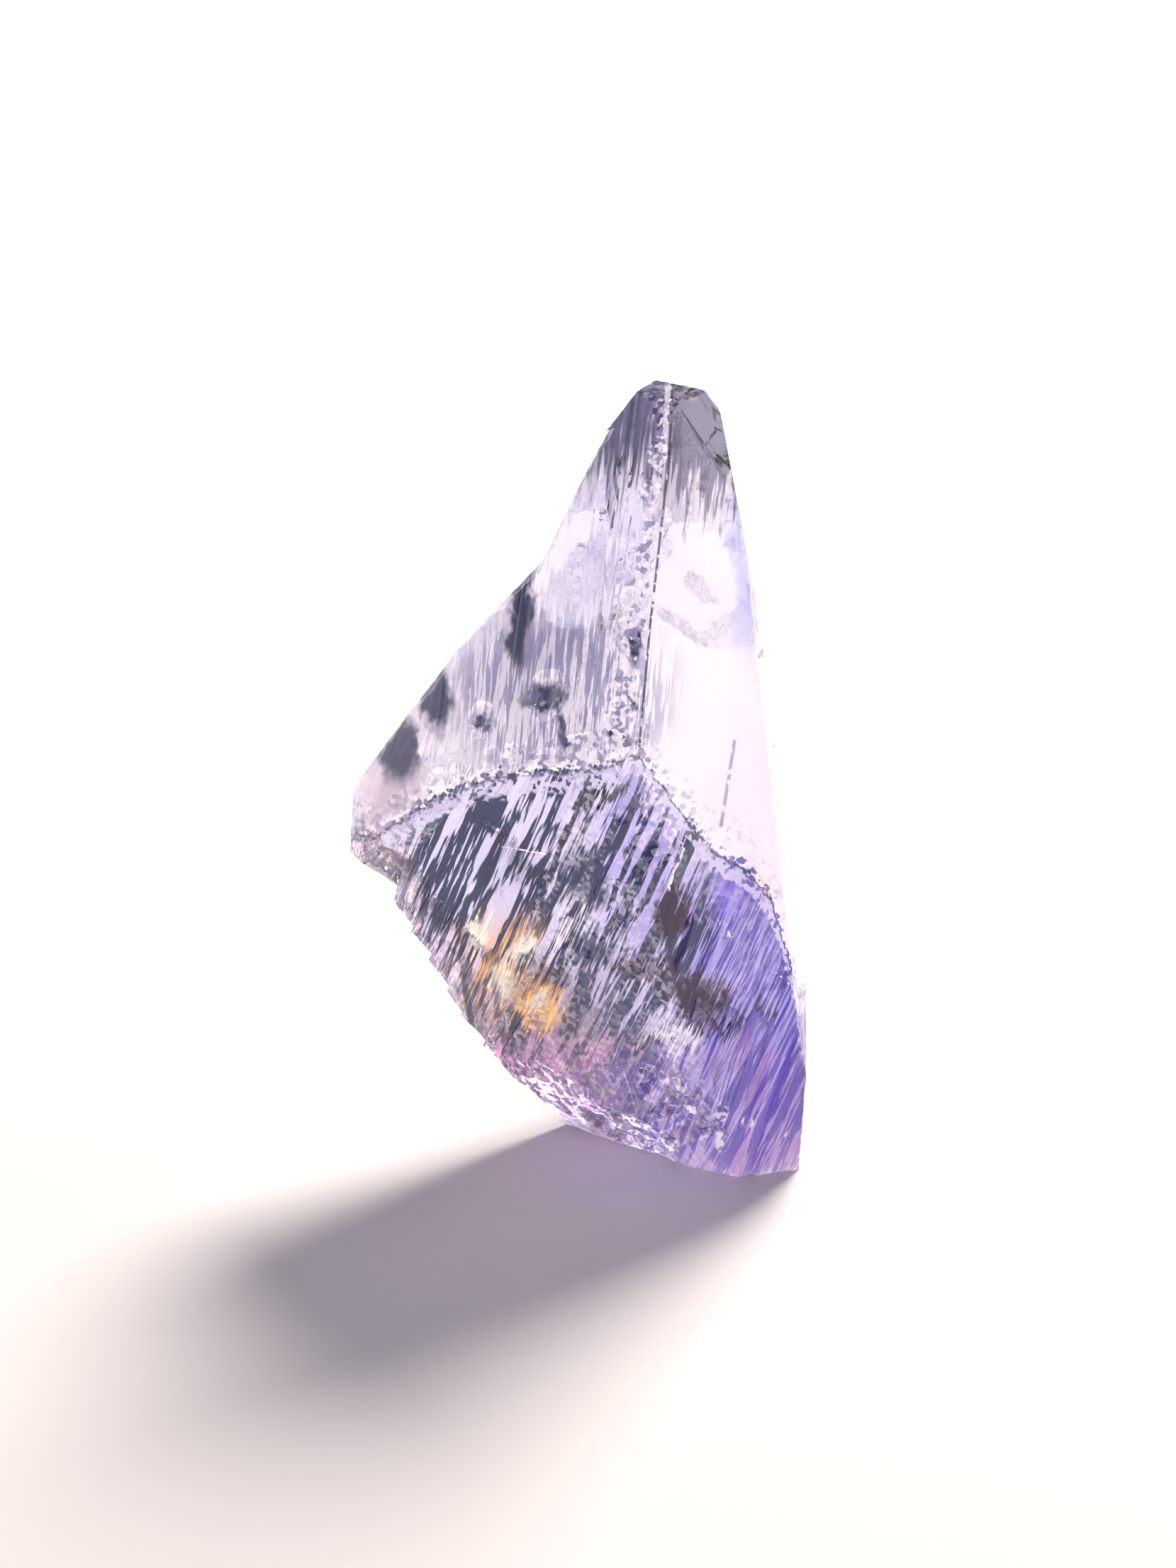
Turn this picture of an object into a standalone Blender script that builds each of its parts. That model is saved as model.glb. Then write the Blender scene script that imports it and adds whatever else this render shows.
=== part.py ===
"""Rough tanzanite crystal, one natural solid standing on a small flat spot.

The stone is cleaved from a block by named flat faces, in two overlapping bodies that grew
together: the tall trunk and the low lobe on its left. Growth steps run down its front faces,
and shell-shaped fracture scars and pits are broken out of its edges.

Frame: +Z up, +X to the right and +Y away from the viewer of the front. The origin is at the
middle of the footprint's box, on the ground. Sizes below are in millimetres.
"""
import bmesh
import bpy
from math import cos, radians, sin
from mathutils import Matrix, Vector

MM = 0.001
BLOCK_SIZE = 60.0

# Corners of the stone that its front faces share
HEART = Vector((1.8, -0.55, 8.0))
RIDGE_TOP = Vector((2.05, -2.05, 19.6))
JUNCTION = Vector((1.05, -5.25, 11.9))
RIGHT_CORNER = Vector((5.35, -3.45, 5.0))
LEFT_SHOULDER = Vector((-3.8, -0.45, 12.15))
LEDGE_BEND = Vector((-2.25, -2.85, 10.5))
LOBE_END = Vector((-5.45, -0.95, 8.25))
LOBE_FOOT = Vector((-4.4, -0.25, 6.85))
STEP_FOOT = Vector((-1.4, -2.3, 6.45))
LEFT_FOOT = Vector((-0.35, -1.65, 1.5))
MIDDLE_FOOT = Vector((3.0, -3.1, 1.0))
RIGHT_FOOT = Vector((4.15, -3.45, 0.0))
UNDERCUT_CORNER = Vector((-1.95, -0.57, 1.59))
FRONT_REST = Vector((2.35, -2.44, 0.0))
LEFT_REST = Vector((-0.6, 0.2, 0.0))
APEX_BACK = Vector((1.85, -0.45, 19.9))
APEX_RIGHT = Vector((3.35, -1.55, 19.65))
GROUND = Vector((0.0, 0.0, 0.0))
TO_BOX_CENTRE = Vector((0.015, -0.278, 0.0))

# Growth steps: width across each step, and how deep its riser is
STEP_WIDTH = 0.38
STEP_WIDTH_SPREAD = 0.55
STEP_DEPTH = 0.05
STEP_DEPTH_SPREAD = 0.13
STEP_RISER = 0.04
STEP_REACH = 14.0
STEP_COVER = 2.5
LOWER_FACE_BEND = sin(radians(3.6))

LOBE_SET_BACK = 0.03
SCAR_WAVE = 0.035

STONE_COLOUR = (0.62, 0.58, 0.82, 1.0)
STONE_ROUGHNESS = 0.08
STONE_IOR = 1.69


def leaning(bearing, tilt, point):
    """Flat face through a point: bearing 0 looks to the front, 90 to the right; tilt is up."""
    turn = radians(bearing)
    rise = radians(tilt)
    outward = Vector((sin(turn) * cos(rise), -cos(turn) * cos(rise), sin(rise)))
    return outward, Vector(point)


def through(first, second, third):
    """Flat face through three corners, looking away from the heart of the stone."""
    outward = (second - first).cross(third - first).normalized()
    if outward.dot(HEART - first) > 0.0:
        outward.negate()
    return outward, first


def set_back(face):
    """The same face moved slightly into the stone, so that two bodies share no surface."""
    outward, point = face
    return outward, point - outward * LOBE_SET_BACK


RIGHT_FACE = through(RIDGE_TOP, JUNCTION, RIGHT_CORNER)
LEFT_FACE = through(RIDGE_TOP, JUNCTION, LEFT_SHOULDER)
LOWER_LEFT_FACE = through(JUNCTION, LEDGE_BEND, LEFT_FOOT)
LOWER_MIDDLE_FACE = through(JUNCTION, STEP_FOOT, MIDDLE_FOOT)
LOWER_RIGHT_FACE = through(JUNCTION, RIGHT_CORNER, RIGHT_FOOT)
LOBE_UNDERSIDE = through(LEDGE_BEND, LOBE_END, LOBE_FOOT)
FOOT_UNDERCUT = through(UNDERCUT_CORNER, FRONT_REST, LEFT_REST)

# Faces that both bodies share
FRONT = [
    RIGHT_FACE,
    LEFT_FACE,
    LOWER_MIDDLE_FACE,
    LOWER_RIGHT_FACE,
    leaning(82, 8, (4.85, -2.75, 8.85)),
    leaning(12, 18, (1.4, -4.9, 11.9)),
]
RIGHT_SIDE = [
    leaning(91, 11, (4.3, -0.75, 14.65)),
    leaning(90, 8, (5.05, -0.4, 9.7)),
    leaning(90, -3, (5.7, -3.3, 2.85)),
]
APEX = [
    through(RIDGE_TOP, APEX_BACK, APEX_RIGHT),
    leaning(-115, 36, (1.1, -1.25, 19.35)),
    leaning(150, 33, (2.7, -0.95, 19.8)),
]
BACK_FACE = leaning(-176, 23, (3.6, 6.15, 5.8))
BACK = [
    BACK_FACE,
    leaning(136, 11, (5.35, 4.9, 7.0)),
    leaning(-160, 8, (-5.0, 0.5, 10.5)),
    leaning(-177, -12, (3.6, 6.2, 5.0)),
    leaning(-140, -24, (-2.0, 1.85, 5.6)),
]
GROUND_FACE = [leaning(0, -90, GROUND)]

TRUNK_FACES = FRONT + RIGHT_SIDE + APEX + BACK + GROUND_FACE + [
    LOWER_LEFT_FACE,
    leaning(-99, -42, (-2.8, -0.45, 2.55)),
    FOOT_UNDERCUT,
    leaning(-112, 23.5, (0.15, -1.25, 17.75)),
    leaning(-89, -23, (-4.3, -0.2, 5.2)),
    leaning(-92, 3, (-4.75, 0.45, 6.2)),
]
LOBE_FACES = [set_back(face) for face in FRONT + RIGHT_SIDE + APEX + BACK + GROUND_FACE] + [
    LOBE_UNDERSIDE,
    leaning(-110, 36, (-2.4, -0.85, 14.0)),
    leaning(-111, 42, (-4.25, -0.3, 11.65)),
    leaning(-103, 27, (-5.35, -0.1, 10.05)),
    leaning(-93, 3, (-5.75, 0.45, 8.5)),
    leaning(-82, -46, (-5.35, 0.25, 7.05)),
]

# Fracture scars: where each bites, the way it opens, and its radius and depth
SCARS = {
    "fracture_upper": ((2.35, -4.7, 9.8), 25, 5, 2.2, 0.42),
    "fracture_middle": ((3.6, -4.15, 8.05), 30, 6, 3.4, 0.55),
    "fracture_lower": ((4.65, -3.65, 6.3), 34, 4, 2.6, 0.42),
    "fracture_flake": ((2.95, -4.45, 9.1), 5, 40, 1.0, 0.26),
    "right_notch": ((5.65, -3.1, 4.25), 75, -10, 0.7, 0.22),
    "junction_hollow": ((0.55, -4.65, 10.65), -10, -30, 1.2, 0.32),
    "left_face_pit": ((-0.85, -3.15, 12.45), -40, 30, 1.1, 0.26),
    "left_face_small_pit": ((-2.4, -2.1, 11.6), -50, 25, 0.8, 0.18),
    "ridge_pit": ((1.25, -4.25, 14.1), -15, 10, 0.45, 0.2),
    "ridge_low_pit": ((1.3, -4.95, 12.95), 5, 15, 0.4, 0.14),
    "ridge_chip_high": ((1.9, -2.75, 18.0), 0, 15, 0.8, 0.12),
    "ridge_chip_middle": ((1.7, -3.2, 16.9), -5, 15, 0.7, 0.12),
    "ridge_chip_low": ((1.35, -4.0, 15.0), -20, 15, 0.9, 0.14),
    "shoulder_chip": ((-1.6, -1.0, 14.95), -80, 35, 0.8, 0.2),
    "under_chip": ((0.6, -2.0, 0.9), -50, -45, 1.4, 0.25),
    "lower_right_scar": ((3.3, -4.0, 4.9), 15, -5, 3.0, 0.2),
    "back_shell_high": ((1.1, 2.5, 13.4), -175, 20, 4.6, 0.55),
    "back_shell_low": ((-1.4, 2.2, 7.4), -150, -8, 4.0, 0.5),
    "back_right_shell": ((4.9, 3.2, 9.6), 132, 12, 4.5, 0.5),
}


def new_object(name, mesh_source, material=None):
    """Turn a bmesh in millimetres into an object in metres, with the origin under its box."""
    bmesh.ops.translate(mesh_source, verts=mesh_source.verts, vec=TO_BOX_CENTRE)
    bmesh.ops.scale(mesh_source, vec=(MM, MM, MM), verts=mesh_source.verts)
    bmesh.ops.recalc_face_normals(mesh_source, faces=mesh_source.faces)
    mesh = bpy.data.meshes.new(name)
    mesh_source.to_mesh(mesh)
    mesh_source.free()
    if material is not None:
        mesh.materials.append(material)
    made = bpy.data.objects.new(name, mesh)
    bpy.context.scene.collection.objects.link(made)
    return made


def as_cutter(made):
    """Mark a helper solid: it shapes the stone and is not part of it."""
    made.hide_render = True
    made.display_type = 'WIRE'
    return made


def cleave(name, faces, material=None):
    """Cut a block down to the space behind every face, closing each cut."""
    stone = bmesh.new()
    bmesh.ops.create_cube(stone, size=BLOCK_SIZE, matrix=Matrix.Translation(HEART))
    for outward, point in faces:
        everything = stone.verts[:] + stone.edges[:] + stone.faces[:]
        bmesh.ops.bisect_plane(
            stone, geom=everything, dist=1e-5, plane_co=point, plane_no=outward, clear_outer=True)
        rim = [edge for edge in stone.edges if edge.is_boundary]
        if rim:
            bmesh.ops.holes_fill(stone, edges=rim)
    bmesh.ops.remove_doubles(stone, verts=stone.verts, dist=1e-3)
    return new_object(name, stone, material)


def step_profile(left, right, bend):
    """Saw line across a face: wide treads that sink gently, then a short riser.

    Right of zero the face falls away by bend, so the line follows both faces beside an edge.
    """
    line = []
    place = left
    count = 0
    while place < right:
        width = STEP_WIDTH + STEP_WIDTH_SPREAD * abs(sin(1.7 * count + 0.4))
        depth = STEP_DEPTH + STEP_DEPTH_SPREAD * abs(sin(2.3 * count + 0.9))
        tread_end = min(place + width, right)
        line.append((place, -STEP_RISER * 0.3 - bend * max(place, 0.0)))
        line.append((tread_end - STEP_RISER, -depth - bend * max(tread_end, 0.0)))
        place = tread_end
        count += 1
    return line


def growth_steps(name, face, origin, down, left, right, bend=0.0, sink=0.0):
    """Prism over a face whose lower side is the saw line, running the way the steps do."""
    outward = face[0]
    along = (down - outward * down.dot(outward)).normalized()
    across = outward.cross(along).normalized()
    slope = (along - outward * sink).normalized()
    line = step_profile(left, right, bend)
    outline = [(left - STEP_RISER, STEP_COVER)] + line + [(right + STEP_RISER, STEP_COVER)]
    prism = bmesh.new()
    start = [prism.verts.new(origin + across * s + outward * h - slope * STEP_REACH) for s, h in outline]
    lid = prism.faces.new(start)
    grown = bmesh.ops.extrude_face_region(prism, geom=[lid])
    ends = [item for item in grown["geom"] if isinstance(item, bmesh.types.BMVert)]
    bmesh.ops.translate(prism, verts=ends, vec=slope * (2.0 * STEP_REACH))
    return as_cutter(new_object(name, prism))


def fracture_scar(name, number, place, bearing, tilt, radius, depth):
    """Ball that bites a shell-shaped scar, its skin rippled so that the break looks broken."""
    opening = leaning(bearing, tilt, place)[0]
    centre = Vector(place) + opening * (radius - depth)
    ball = bmesh.new()
    turned = Matrix.Translation(centre) @ Matrix.Rotation(0.7 * number, 4, 'X')
    bmesh.ops.create_icosphere(ball, subdivisions=4 if radius > 1.5 else 3, radius=radius, matrix=turned)
    for vert in ball.verts:
        out = (vert.co - centre).normalized()
        wave = sin(9.0 * out.x + number) * sin(7.0 * out.y - 2.0 * number) * sin(8.0 * out.z + 1.0)
        vert.co += out * (SCAR_WAVE * radius * wave)
    return as_cutter(new_object(name, ball))


def combine(stone, operation, name, helper=None, group=None):
    """Add one Boolean to the stone, with a single helper solid or a group of them."""
    boolean = stone.modifiers.new(name, 'BOOLEAN')
    boolean.operation = operation
    boolean.solver = 'EXACT'
    if group is None:
        boolean.object = helper
    else:
        boolean.operand_type = 'COLLECTION'
        boolean.collection = group


def helper_group(name, helpers):
    """Gather helper solids in a collection of their own."""
    group = bpy.data.collections.new(name)
    bpy.context.scene.collection.children.link(group)
    for helper in helpers:
        bpy.context.scene.collection.objects.unlink(helper)
        group.objects.link(helper)
    return group


def stone_material():
    """Clear violet-blue zoisite."""
    material = bpy.data.materials.new("tanzanite")
    material.use_nodes = True
    shader = material.node_tree.nodes["Principled BSDF"]
    shader.inputs["Base Color"].default_value = STONE_COLOUR
    shader.inputs["Roughness"].default_value = STONE_ROUGHNESS
    shader.inputs["Metallic"].default_value = 0.0
    shader.inputs["IOR"].default_value = STONE_IOR
    shader.inputs["Transmission Weight"].default_value = 1.0
    return material


def clear_scene():
    for old in list(bpy.data.objects):
        bpy.data.objects.remove(old)


def build():
    clear_scene()
    crystal = cleave("tanzanite_crystal", TRUNK_FACES, stone_material())
    lobe = as_cutter(cleave("left_lobe", LOBE_FACES))
    down_steps = STEP_FOOT - JUNCTION
    down_ridge = JUNCTION - RIDGE_TOP
    lower_steps = growth_steps(
        "lower_steps", LOWER_LEFT_FACE, JUNCTION, down_steps, -4.6, 4.6, bend=LOWER_FACE_BEND)
    face_steps = [
        growth_steps("right_steps", LOWER_RIGHT_FACE, JUNCTION, down_steps, 0.9, 8.0),
        growth_steps("left_face_steps", LEFT_FACE, JUNCTION, down_ridge, -4.2, -0.35, sink=0.045),
        growth_steps("back_steps", BACK_FACE, BACK_FACE[1], down_ridge, -0.9, 5.4),
    ]
    scars = helper_group("fracture_scars", [
        fracture_scar(name, number, *numbers) for number, (name, numbers) in enumerate(SCARS.items())])
    combine(crystal, 'DIFFERENCE', "lower growth steps", helper=lower_steps)
    combine(crystal, 'UNION', "left lobe", helper=lobe)
    for steps in face_steps:
        combine(crystal, 'DIFFERENCE', steps.name, helper=steps)
    combine(crystal, 'DIFFERENCE', "fracture scars", group=scars)


build()
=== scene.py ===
"""Rough tanzanite crystal: its surface, its stone and the plain studio around it.

The stone is worked in millimetres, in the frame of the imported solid: +Z up, +X to the right and
+Y away from the viewer of the front. Every natural face, worn edge and fracture is a grid
surface, carved out of a block that flat faces have cleaved.
"""
import bmesh
import bpy
import numpy as np
from bpy.props import FloatProperty, FloatVectorProperty, PointerProperty
from bpy.types import Operator, Panel, PropertyGroup
from collections import namedtuple
from math import asin, atan2, cos, degrees, pi, radians, sin
from mathutils import Matrix, Vector


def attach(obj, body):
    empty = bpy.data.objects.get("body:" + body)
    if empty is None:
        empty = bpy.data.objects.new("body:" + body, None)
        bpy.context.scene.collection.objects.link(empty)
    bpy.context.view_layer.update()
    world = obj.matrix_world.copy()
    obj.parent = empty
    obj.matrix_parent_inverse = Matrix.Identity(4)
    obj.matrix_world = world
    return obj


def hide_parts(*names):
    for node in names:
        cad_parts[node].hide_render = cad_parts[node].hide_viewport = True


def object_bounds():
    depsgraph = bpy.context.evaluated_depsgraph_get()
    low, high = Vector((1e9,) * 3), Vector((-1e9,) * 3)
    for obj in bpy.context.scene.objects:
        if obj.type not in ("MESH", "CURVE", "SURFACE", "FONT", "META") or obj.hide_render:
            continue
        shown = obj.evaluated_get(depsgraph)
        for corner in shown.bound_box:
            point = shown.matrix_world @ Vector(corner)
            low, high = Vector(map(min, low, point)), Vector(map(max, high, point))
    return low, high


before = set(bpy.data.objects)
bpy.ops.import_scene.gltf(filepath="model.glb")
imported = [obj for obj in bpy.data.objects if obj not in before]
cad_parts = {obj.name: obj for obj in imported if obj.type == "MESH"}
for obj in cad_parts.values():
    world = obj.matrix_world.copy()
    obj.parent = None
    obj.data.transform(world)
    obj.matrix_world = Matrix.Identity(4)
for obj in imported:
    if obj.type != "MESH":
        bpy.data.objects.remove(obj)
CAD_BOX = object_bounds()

bl_info = {
    "name": "Rough tanzanite crystal",
    "version": (1, 0, 0),
    "blender": (4, 5, 0),
    "location": "3D View > Sidebar > Tanzanite",
    "description": "Carves a rough tanzanite crystal with its growth lines, fractures and colour zones",
    "category": "Object",
}

BODY = "root"
NODE = "tanzanite_crystal"

# The drawing below is this tall, in millimetres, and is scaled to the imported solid
DRAWN_HEIGHT = 19.885
MM = (CAD_BOX[1].z - CAD_BOX[0].z) / DRAWN_HEIGHT
BOX_CENTRE = np.array([0.015, -0.278, 0.0])
BLOCK_SIZE = 60.0


def at(x, y, z):
    return np.array([x, y, z], float)


# Corners that the stone's faces share
HEART = at(1.8, -0.55, 8.0)
RIDGE_TOP = at(2.05, -2.05, 19.6)
JUNCTION = at(1.05, -5.25, 11.9)
RIGHT_CORNER = at(5.35, -3.45, 5.0)
LEFT_SHOULDER = at(-3.8, -0.45, 12.15)
LEDGE_BEND = at(-2.25, -2.85, 10.5)
LOBE_END = at(-5.45, -0.95, 8.25)
LOBE_FOOT = at(-4.4, -0.25, 6.85)
STEP_FOOT = at(-1.4, -2.3, 6.45)
LEFT_FOOT = at(-0.35, -1.65, 1.5)
MIDDLE_FOOT = at(3.0, -3.1, 1.0)
RIGHT_FOOT = at(4.15, -3.45, 0.0)
UNDERCUT_CORNER = at(-1.95, -0.57, 1.59)
FRONT_REST = at(2.35, -2.44, 0.0)
LEFT_REST = at(-0.6, 0.2, 0.0)
APEX_BACK = at(1.85, -0.45, 19.9)
APEX_RIGHT = at(3.35, -1.55, 19.65)

DOWN_STEPS = STEP_FOOT - JUNCTION
DOWN_RIDGE = JUNCTION - RIDGE_TOP

# Coarse growth steps: width across each step, and how deep it sinks before the next riser
STEP_WIDTH = 0.38
STEP_WIDTH_SPREAD = 0.55
STEP_DEPTH = 0.05
STEP_DEPTH_SPREAD = 0.13
STEP_RISER = 0.04
STEP_LIP = 0.3
LOWER_FACE_BEND = sin(radians(3.6))

# Stone left on the cleaved block for the reliefs to carve away, and how far they rise into it and run past it
SKIN = 0.08
MOST_RISE = SKIN * 0.9
MARGIN = 0.35
LOBE_SET_BACK = 0.03

# How near to a face or an edge a corner counts as on it, and to each other two corners count as one
ON_FACE = 0.16
ON_EDGE = 0.12
CUT_TOLERANCE = 1e-5
SAME_CORNER = 1e-3
SHARP_ANGLE = 24.0

# Noise and growth lines: cells of the random table, what each layer adds to the seed, size of the faint
# swell, share of the lines that sink the other way, how far lines waver and over what size, size of the
# patches in which they are strong, and their mean strength, its spread and its least
NOISE_CELLS = 128
LAYER_SEED = 17
SWELL_SIZE = (1.3, 2.1)
TURNED_LINES = 0.4
WAVER, WAVER_SIZE = 0.05, (2.0, 3.0)
LINE_PATCH, LINE_SHIFT = (0.7, 2.8), 3.1
LINE_MEAN, LINE_SPREAD, LINE_LEAST = 0.55, 0.75, 0.08

# Scars: share of swell, height and spacing of the ripples, height and size of the grain, the grid's cell on
# small and on large ones, the fewest rings, and how far aside of the bite the break started, and which way
SCAR_WAVE = 0.035
RIPPLE_HEIGHT, RIPPLE_SPACING = 0.012, 0.055
SCAR_GRAIN, SCAR_GRAIN_SIZE = 0.01, 0.35
SMALL_SCAR_CELL, LARGE_SCAR_CELL, LARGE_SCAR = 0.085, 0.13, 1.5
FEWEST_RINGS = 12
START_ASIDE, ASIDE = 0.9, at(0.3, 0.2, 1.0)

# Worn edges: cell of the grid, how far a strip runs past each end, and how much its depth wanders along it
EDGE_CELL = 0.055
EDGE_OVERRUN = 0.15
EDGE_WANDER, EDGE_WANDER_SIZE = 0.5, 1.1
FIRST_EDGE_SEED, EDGE_SEED_STEP = 300, 7

# Chips: how much the way they open varies, the share of their band's frost, and the faces too edge-on to chip
CHIP_TURN = 0.35
CHIP_FROST = (0.2, 1.5)
LEAST_FACING = 0.02
FIRST_CHIP_SEED, CHIP_SEED_STEP = 500, 100

# How far the outer point of a cutting slab stands off, on a face and on an edge
FACE_COVER = 4.0
EDGE_COVER = 3.0

Face = namedtuple("Face", "outward point relief down")
Relief = namedtuple("Relief", "cell_across cell_along coarse fine rough grain swell fade frost seed")


def unit(vector):
    return vector / np.linalg.norm(vector)


def leaning(bearing, tilt, point):
    """Outward direction of a flat face and a point on it: bearing 0 is the front, 90 the right."""
    turn = radians(bearing)
    rise = radians(tilt)
    return at(sin(turn) * cos(rise), -cos(turn) * cos(rise), sin(rise)), np.array(point, float)


def through(first, second, third):
    """Outward direction and a point of the flat face through three corners."""
    outward = unit(np.cross(second - first, third - first))
    if outward @ (HEART - first) > 0.0:
        outward = -outward
    return outward, first


def relief(across=0.1, along=0.2, coarse=None, fine=None, rough=0.0, grain=0.3,
           swell=0.004, fade=None, frost=0.0, seed=0):
    """How one face is textured; sizes in millimetres, frost from 0 clear to 1 white."""
    return Relief(across, along, coarse, fine, rough, grain, swell, fade, frost, seed)


def face(plane, texture, down=DOWN_RIDGE):
    return Face(plane[0], plane[1], texture, down)


# Noise and growth lines

def lattice_noise(x, y, seed):
    """Smooth noise from -1 to 1: random corner values of a unit grid, eased in between by 3f²-2f³."""
    table = np.random.default_rng(seed).uniform(-1.0, 1.0, (NOISE_CELLS, NOISE_CELLS))
    column = np.floor(x).astype(int)
    row = np.floor(y).astype(int)
    fx = x - column
    fy = y - row
    fx = fx * fx * (3.0 - 2.0 * fx)
    fy = fy * fy * (3.0 - 2.0 * fy)
    left, right = column % NOISE_CELLS, (column + 1) % NOISE_CELLS
    low, high = row % NOISE_CELLS, (row + 1) % NOISE_CELLS
    near = table[left, low] * (1.0 - fx) + table[right, low] * fx
    far = table[left, high] * (1.0 - fx) + table[right, high] * fx
    return near * (1.0 - fy) + far * fy


def broken_noise(x, y, size, seed, layers=4):
    """Noise of a broken surface: each layer is half the size and half the height of the last."""
    total = 0.0
    for layer in range(layers):
        scale = 2.0 ** layer / size
        total = total + lattice_noise(x * scale, y * scale, seed + LAYER_SEED * layer) / 2.0 ** layer
    return total


def coarse_steps(left, right, bend):
    """Saw line of the coarse growth steps: places across the face, and heights.

    Widths and depths vary as sines of the step's number.
    """
    places = []
    heights = []
    place = left
    count = 0
    while place < right:
        width = STEP_WIDTH + STEP_WIDTH_SPREAD * abs(sin(1.7 * count + 0.4))
        depth = STEP_DEPTH + STEP_DEPTH_SPREAD * abs(sin(2.3 * count + 0.9))
        tread_end = min(place + width, right)
        places += [place, tread_end - STEP_RISER]
        heights += [-STEP_RISER * STEP_LIP - bend * max(place, 0.0), -depth - bend * max(tread_end, 0.0)]
        place = tread_end
        count += 1
    return np.array(places), np.array(heights)


def fine_lines(left, right, width, depth, riser, seed):
    """Saw line of fine growth lines of random width and depth, some sinking the other way."""
    chance = np.random.default_rng(seed)
    count = int((right - left) / width[0]) + 2
    starts = left + np.concatenate([[0.0], np.cumsum(chance.uniform(*width, count))])
    depths = chance.uniform(*depth, count)
    turned = chance.random(count) < TURNED_LINES
    places = np.stack([starts[:-1], starts[1:] - riser], axis=1).ravel()
    heights = np.stack([np.where(turned, -depths, 0.0), np.where(turned, 0.0, -depths)], axis=1).ravel()
    kept = places < right
    return places[kept], heights[kept]


# Surfaces on a grid

def face_axes(outward, down):
    """Unit directions in a face: across it, and along it the way its lines run."""
    along = unit(down - outward * (down @ outward))
    return np.cross(outward, along), along


def grid_triangles(columns, rows):
    """Triangles of a grid of columns by rows points, turned so that across x along is their back."""
    index = np.arange(columns * rows).reshape(columns, rows)
    a, b, c, d = index[:-1, :-1], index[1:, :-1], index[1:, 1:], index[:-1, 1:]
    return np.concatenate([np.stack([a, b, c], -1).reshape(-1, 3), np.stack([a, c, d], -1).reshape(-1, 3)])


def grid_rim(columns, rows):
    """The grid's outer points in order, once round."""
    index = np.arange(columns * rows).reshape(columns, rows)
    return np.concatenate([index[:-1, 0], index[-1, :-1], index[:0:-1, -1], index[0, :0:-1]])


def new_mesh(name, points, triangles, frost):
    """Mesh object from arrays, in metres, with the frost of its surface kept on its faces."""
    mesh = bpy.data.meshes.new(name)
    mesh.vertices.add(len(points))
    mesh.vertices.foreach_set("co", ((points + BOX_CENTRE) * MM).astype(np.float32).ravel())
    mesh.loops.add(triangles.size)
    mesh.loops.foreach_set("vertex_index", triangles.astype(np.int32).ravel())
    mesh.polygons.add(len(triangles))
    mesh.polygons.foreach_set("loop_start", np.arange(0, triangles.size, 3, dtype=np.int32))
    mesh.update(calc_edges=True)
    kept = mesh.attributes.new("cut_frost", 'FLOAT', 'FACE')
    kept.data.foreach_set("value", np.full(len(triangles), frost, np.float32))
    made = bpy.data.objects.new(name, mesh)
    bpy.context.scene.collection.objects.link(made)
    return made


def slab(name, outward, origin, along, places, reaches, heights, frost, cover=FACE_COVER):
    """Closed slab whose inner side is the relief: origin + across s + along t + outward height(s, t).

    Its outer side rises from the rim to one point, cover above the middle of the face.
    """
    across = np.cross(outward, along)
    s, t = np.meshgrid(places, reaches, indexing="ij")
    inner = origin + s[..., None] * across + t[..., None] * along + heights(s, t)[..., None] * outward
    top = origin + across * np.mean(places) + along * np.mean(reaches) + outward * cover
    points = np.concatenate([inner.reshape(-1, 3), top[None]])
    rim = grid_rim(len(places), len(reaches))
    tent = np.stack([np.roll(rim, -1), rim, np.full(len(rim), len(points) - 1)], axis=-1)
    return new_mesh(name, points, np.concatenate([grid_triangles(len(places), len(reaches)), tent]), frost)


def line_height(lines, s, t, seed):
    """Height of a set of growth lines, strong in long patches and weak between them."""
    patches = lattice_noise(s / LINE_PATCH[0] + LINE_SHIFT, t / LINE_PATCH[1], seed)
    return np.interp(s, *lines) * np.clip(LINE_MEAN + LINE_SPREAD * patches, LINE_LEAST, 1.0)


def relief_slab(name, stone_face, corners):
    """Slab that carves one face's texture, sized to the corners of the stone that lie on it."""
    texture = stone_face.relief
    across, along = face_axes(stone_face.outward, stone_face.down)
    from_point = corners - stone_face.point
    left, right = (from_point @ across).min() - MARGIN, (from_point @ across).max() + MARGIN
    start, end = (from_point @ along).min() - MARGIN, (from_point @ along).max() + MARGIN
    places = [np.linspace(left, right, int((right - left) / texture.cell_across) + 2)]
    coarse = fine = None
    if texture.coarse is not None:
        coarse = coarse_steps(*texture.coarse)
        places.append(coarse[0])
    if texture.fine is not None:
        fine = fine_lines(left, right, *texture.fine, seed=texture.seed)
        places.append(fine[0])
    places = np.unique(np.concatenate(places).round(3))
    places = places[(places >= left) & (places <= right)]
    reaches = np.linspace(start, end, int((end - start) / texture.cell_along) + 2)

    def heights(s, t):
        """Sum of the face's coarse steps, fine lines, broken grain and faint swell."""
        total = texture.swell * lattice_noise(s / SWELL_SIZE[0], t / SWELL_SIZE[1], texture.seed + 5)
        if coarse is not None:
            total = total + np.interp(s, *coarse)
        if fine is not None:
            waver = WAVER * lattice_noise(s / WAVER_SIZE[0], t / WAVER_SIZE[1], texture.seed + 9)
            shown = line_height(fine, s + waver, t, texture.seed + 3)
            if texture.fade is not None:
                shown = shown * np.clip((t - texture.fade[0]) / (texture.fade[1] - texture.fade[0]), 0.0, 1.0)
            total = total + shown
        if texture.rough:
            total = total + texture.rough * broken_noise(s, t, texture.grain, texture.seed)
        return np.minimum(total, MOST_RISE)

    return slab(name, stone_face.outward, stone_face.point, along, places, reaches, heights, texture.frost)


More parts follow.
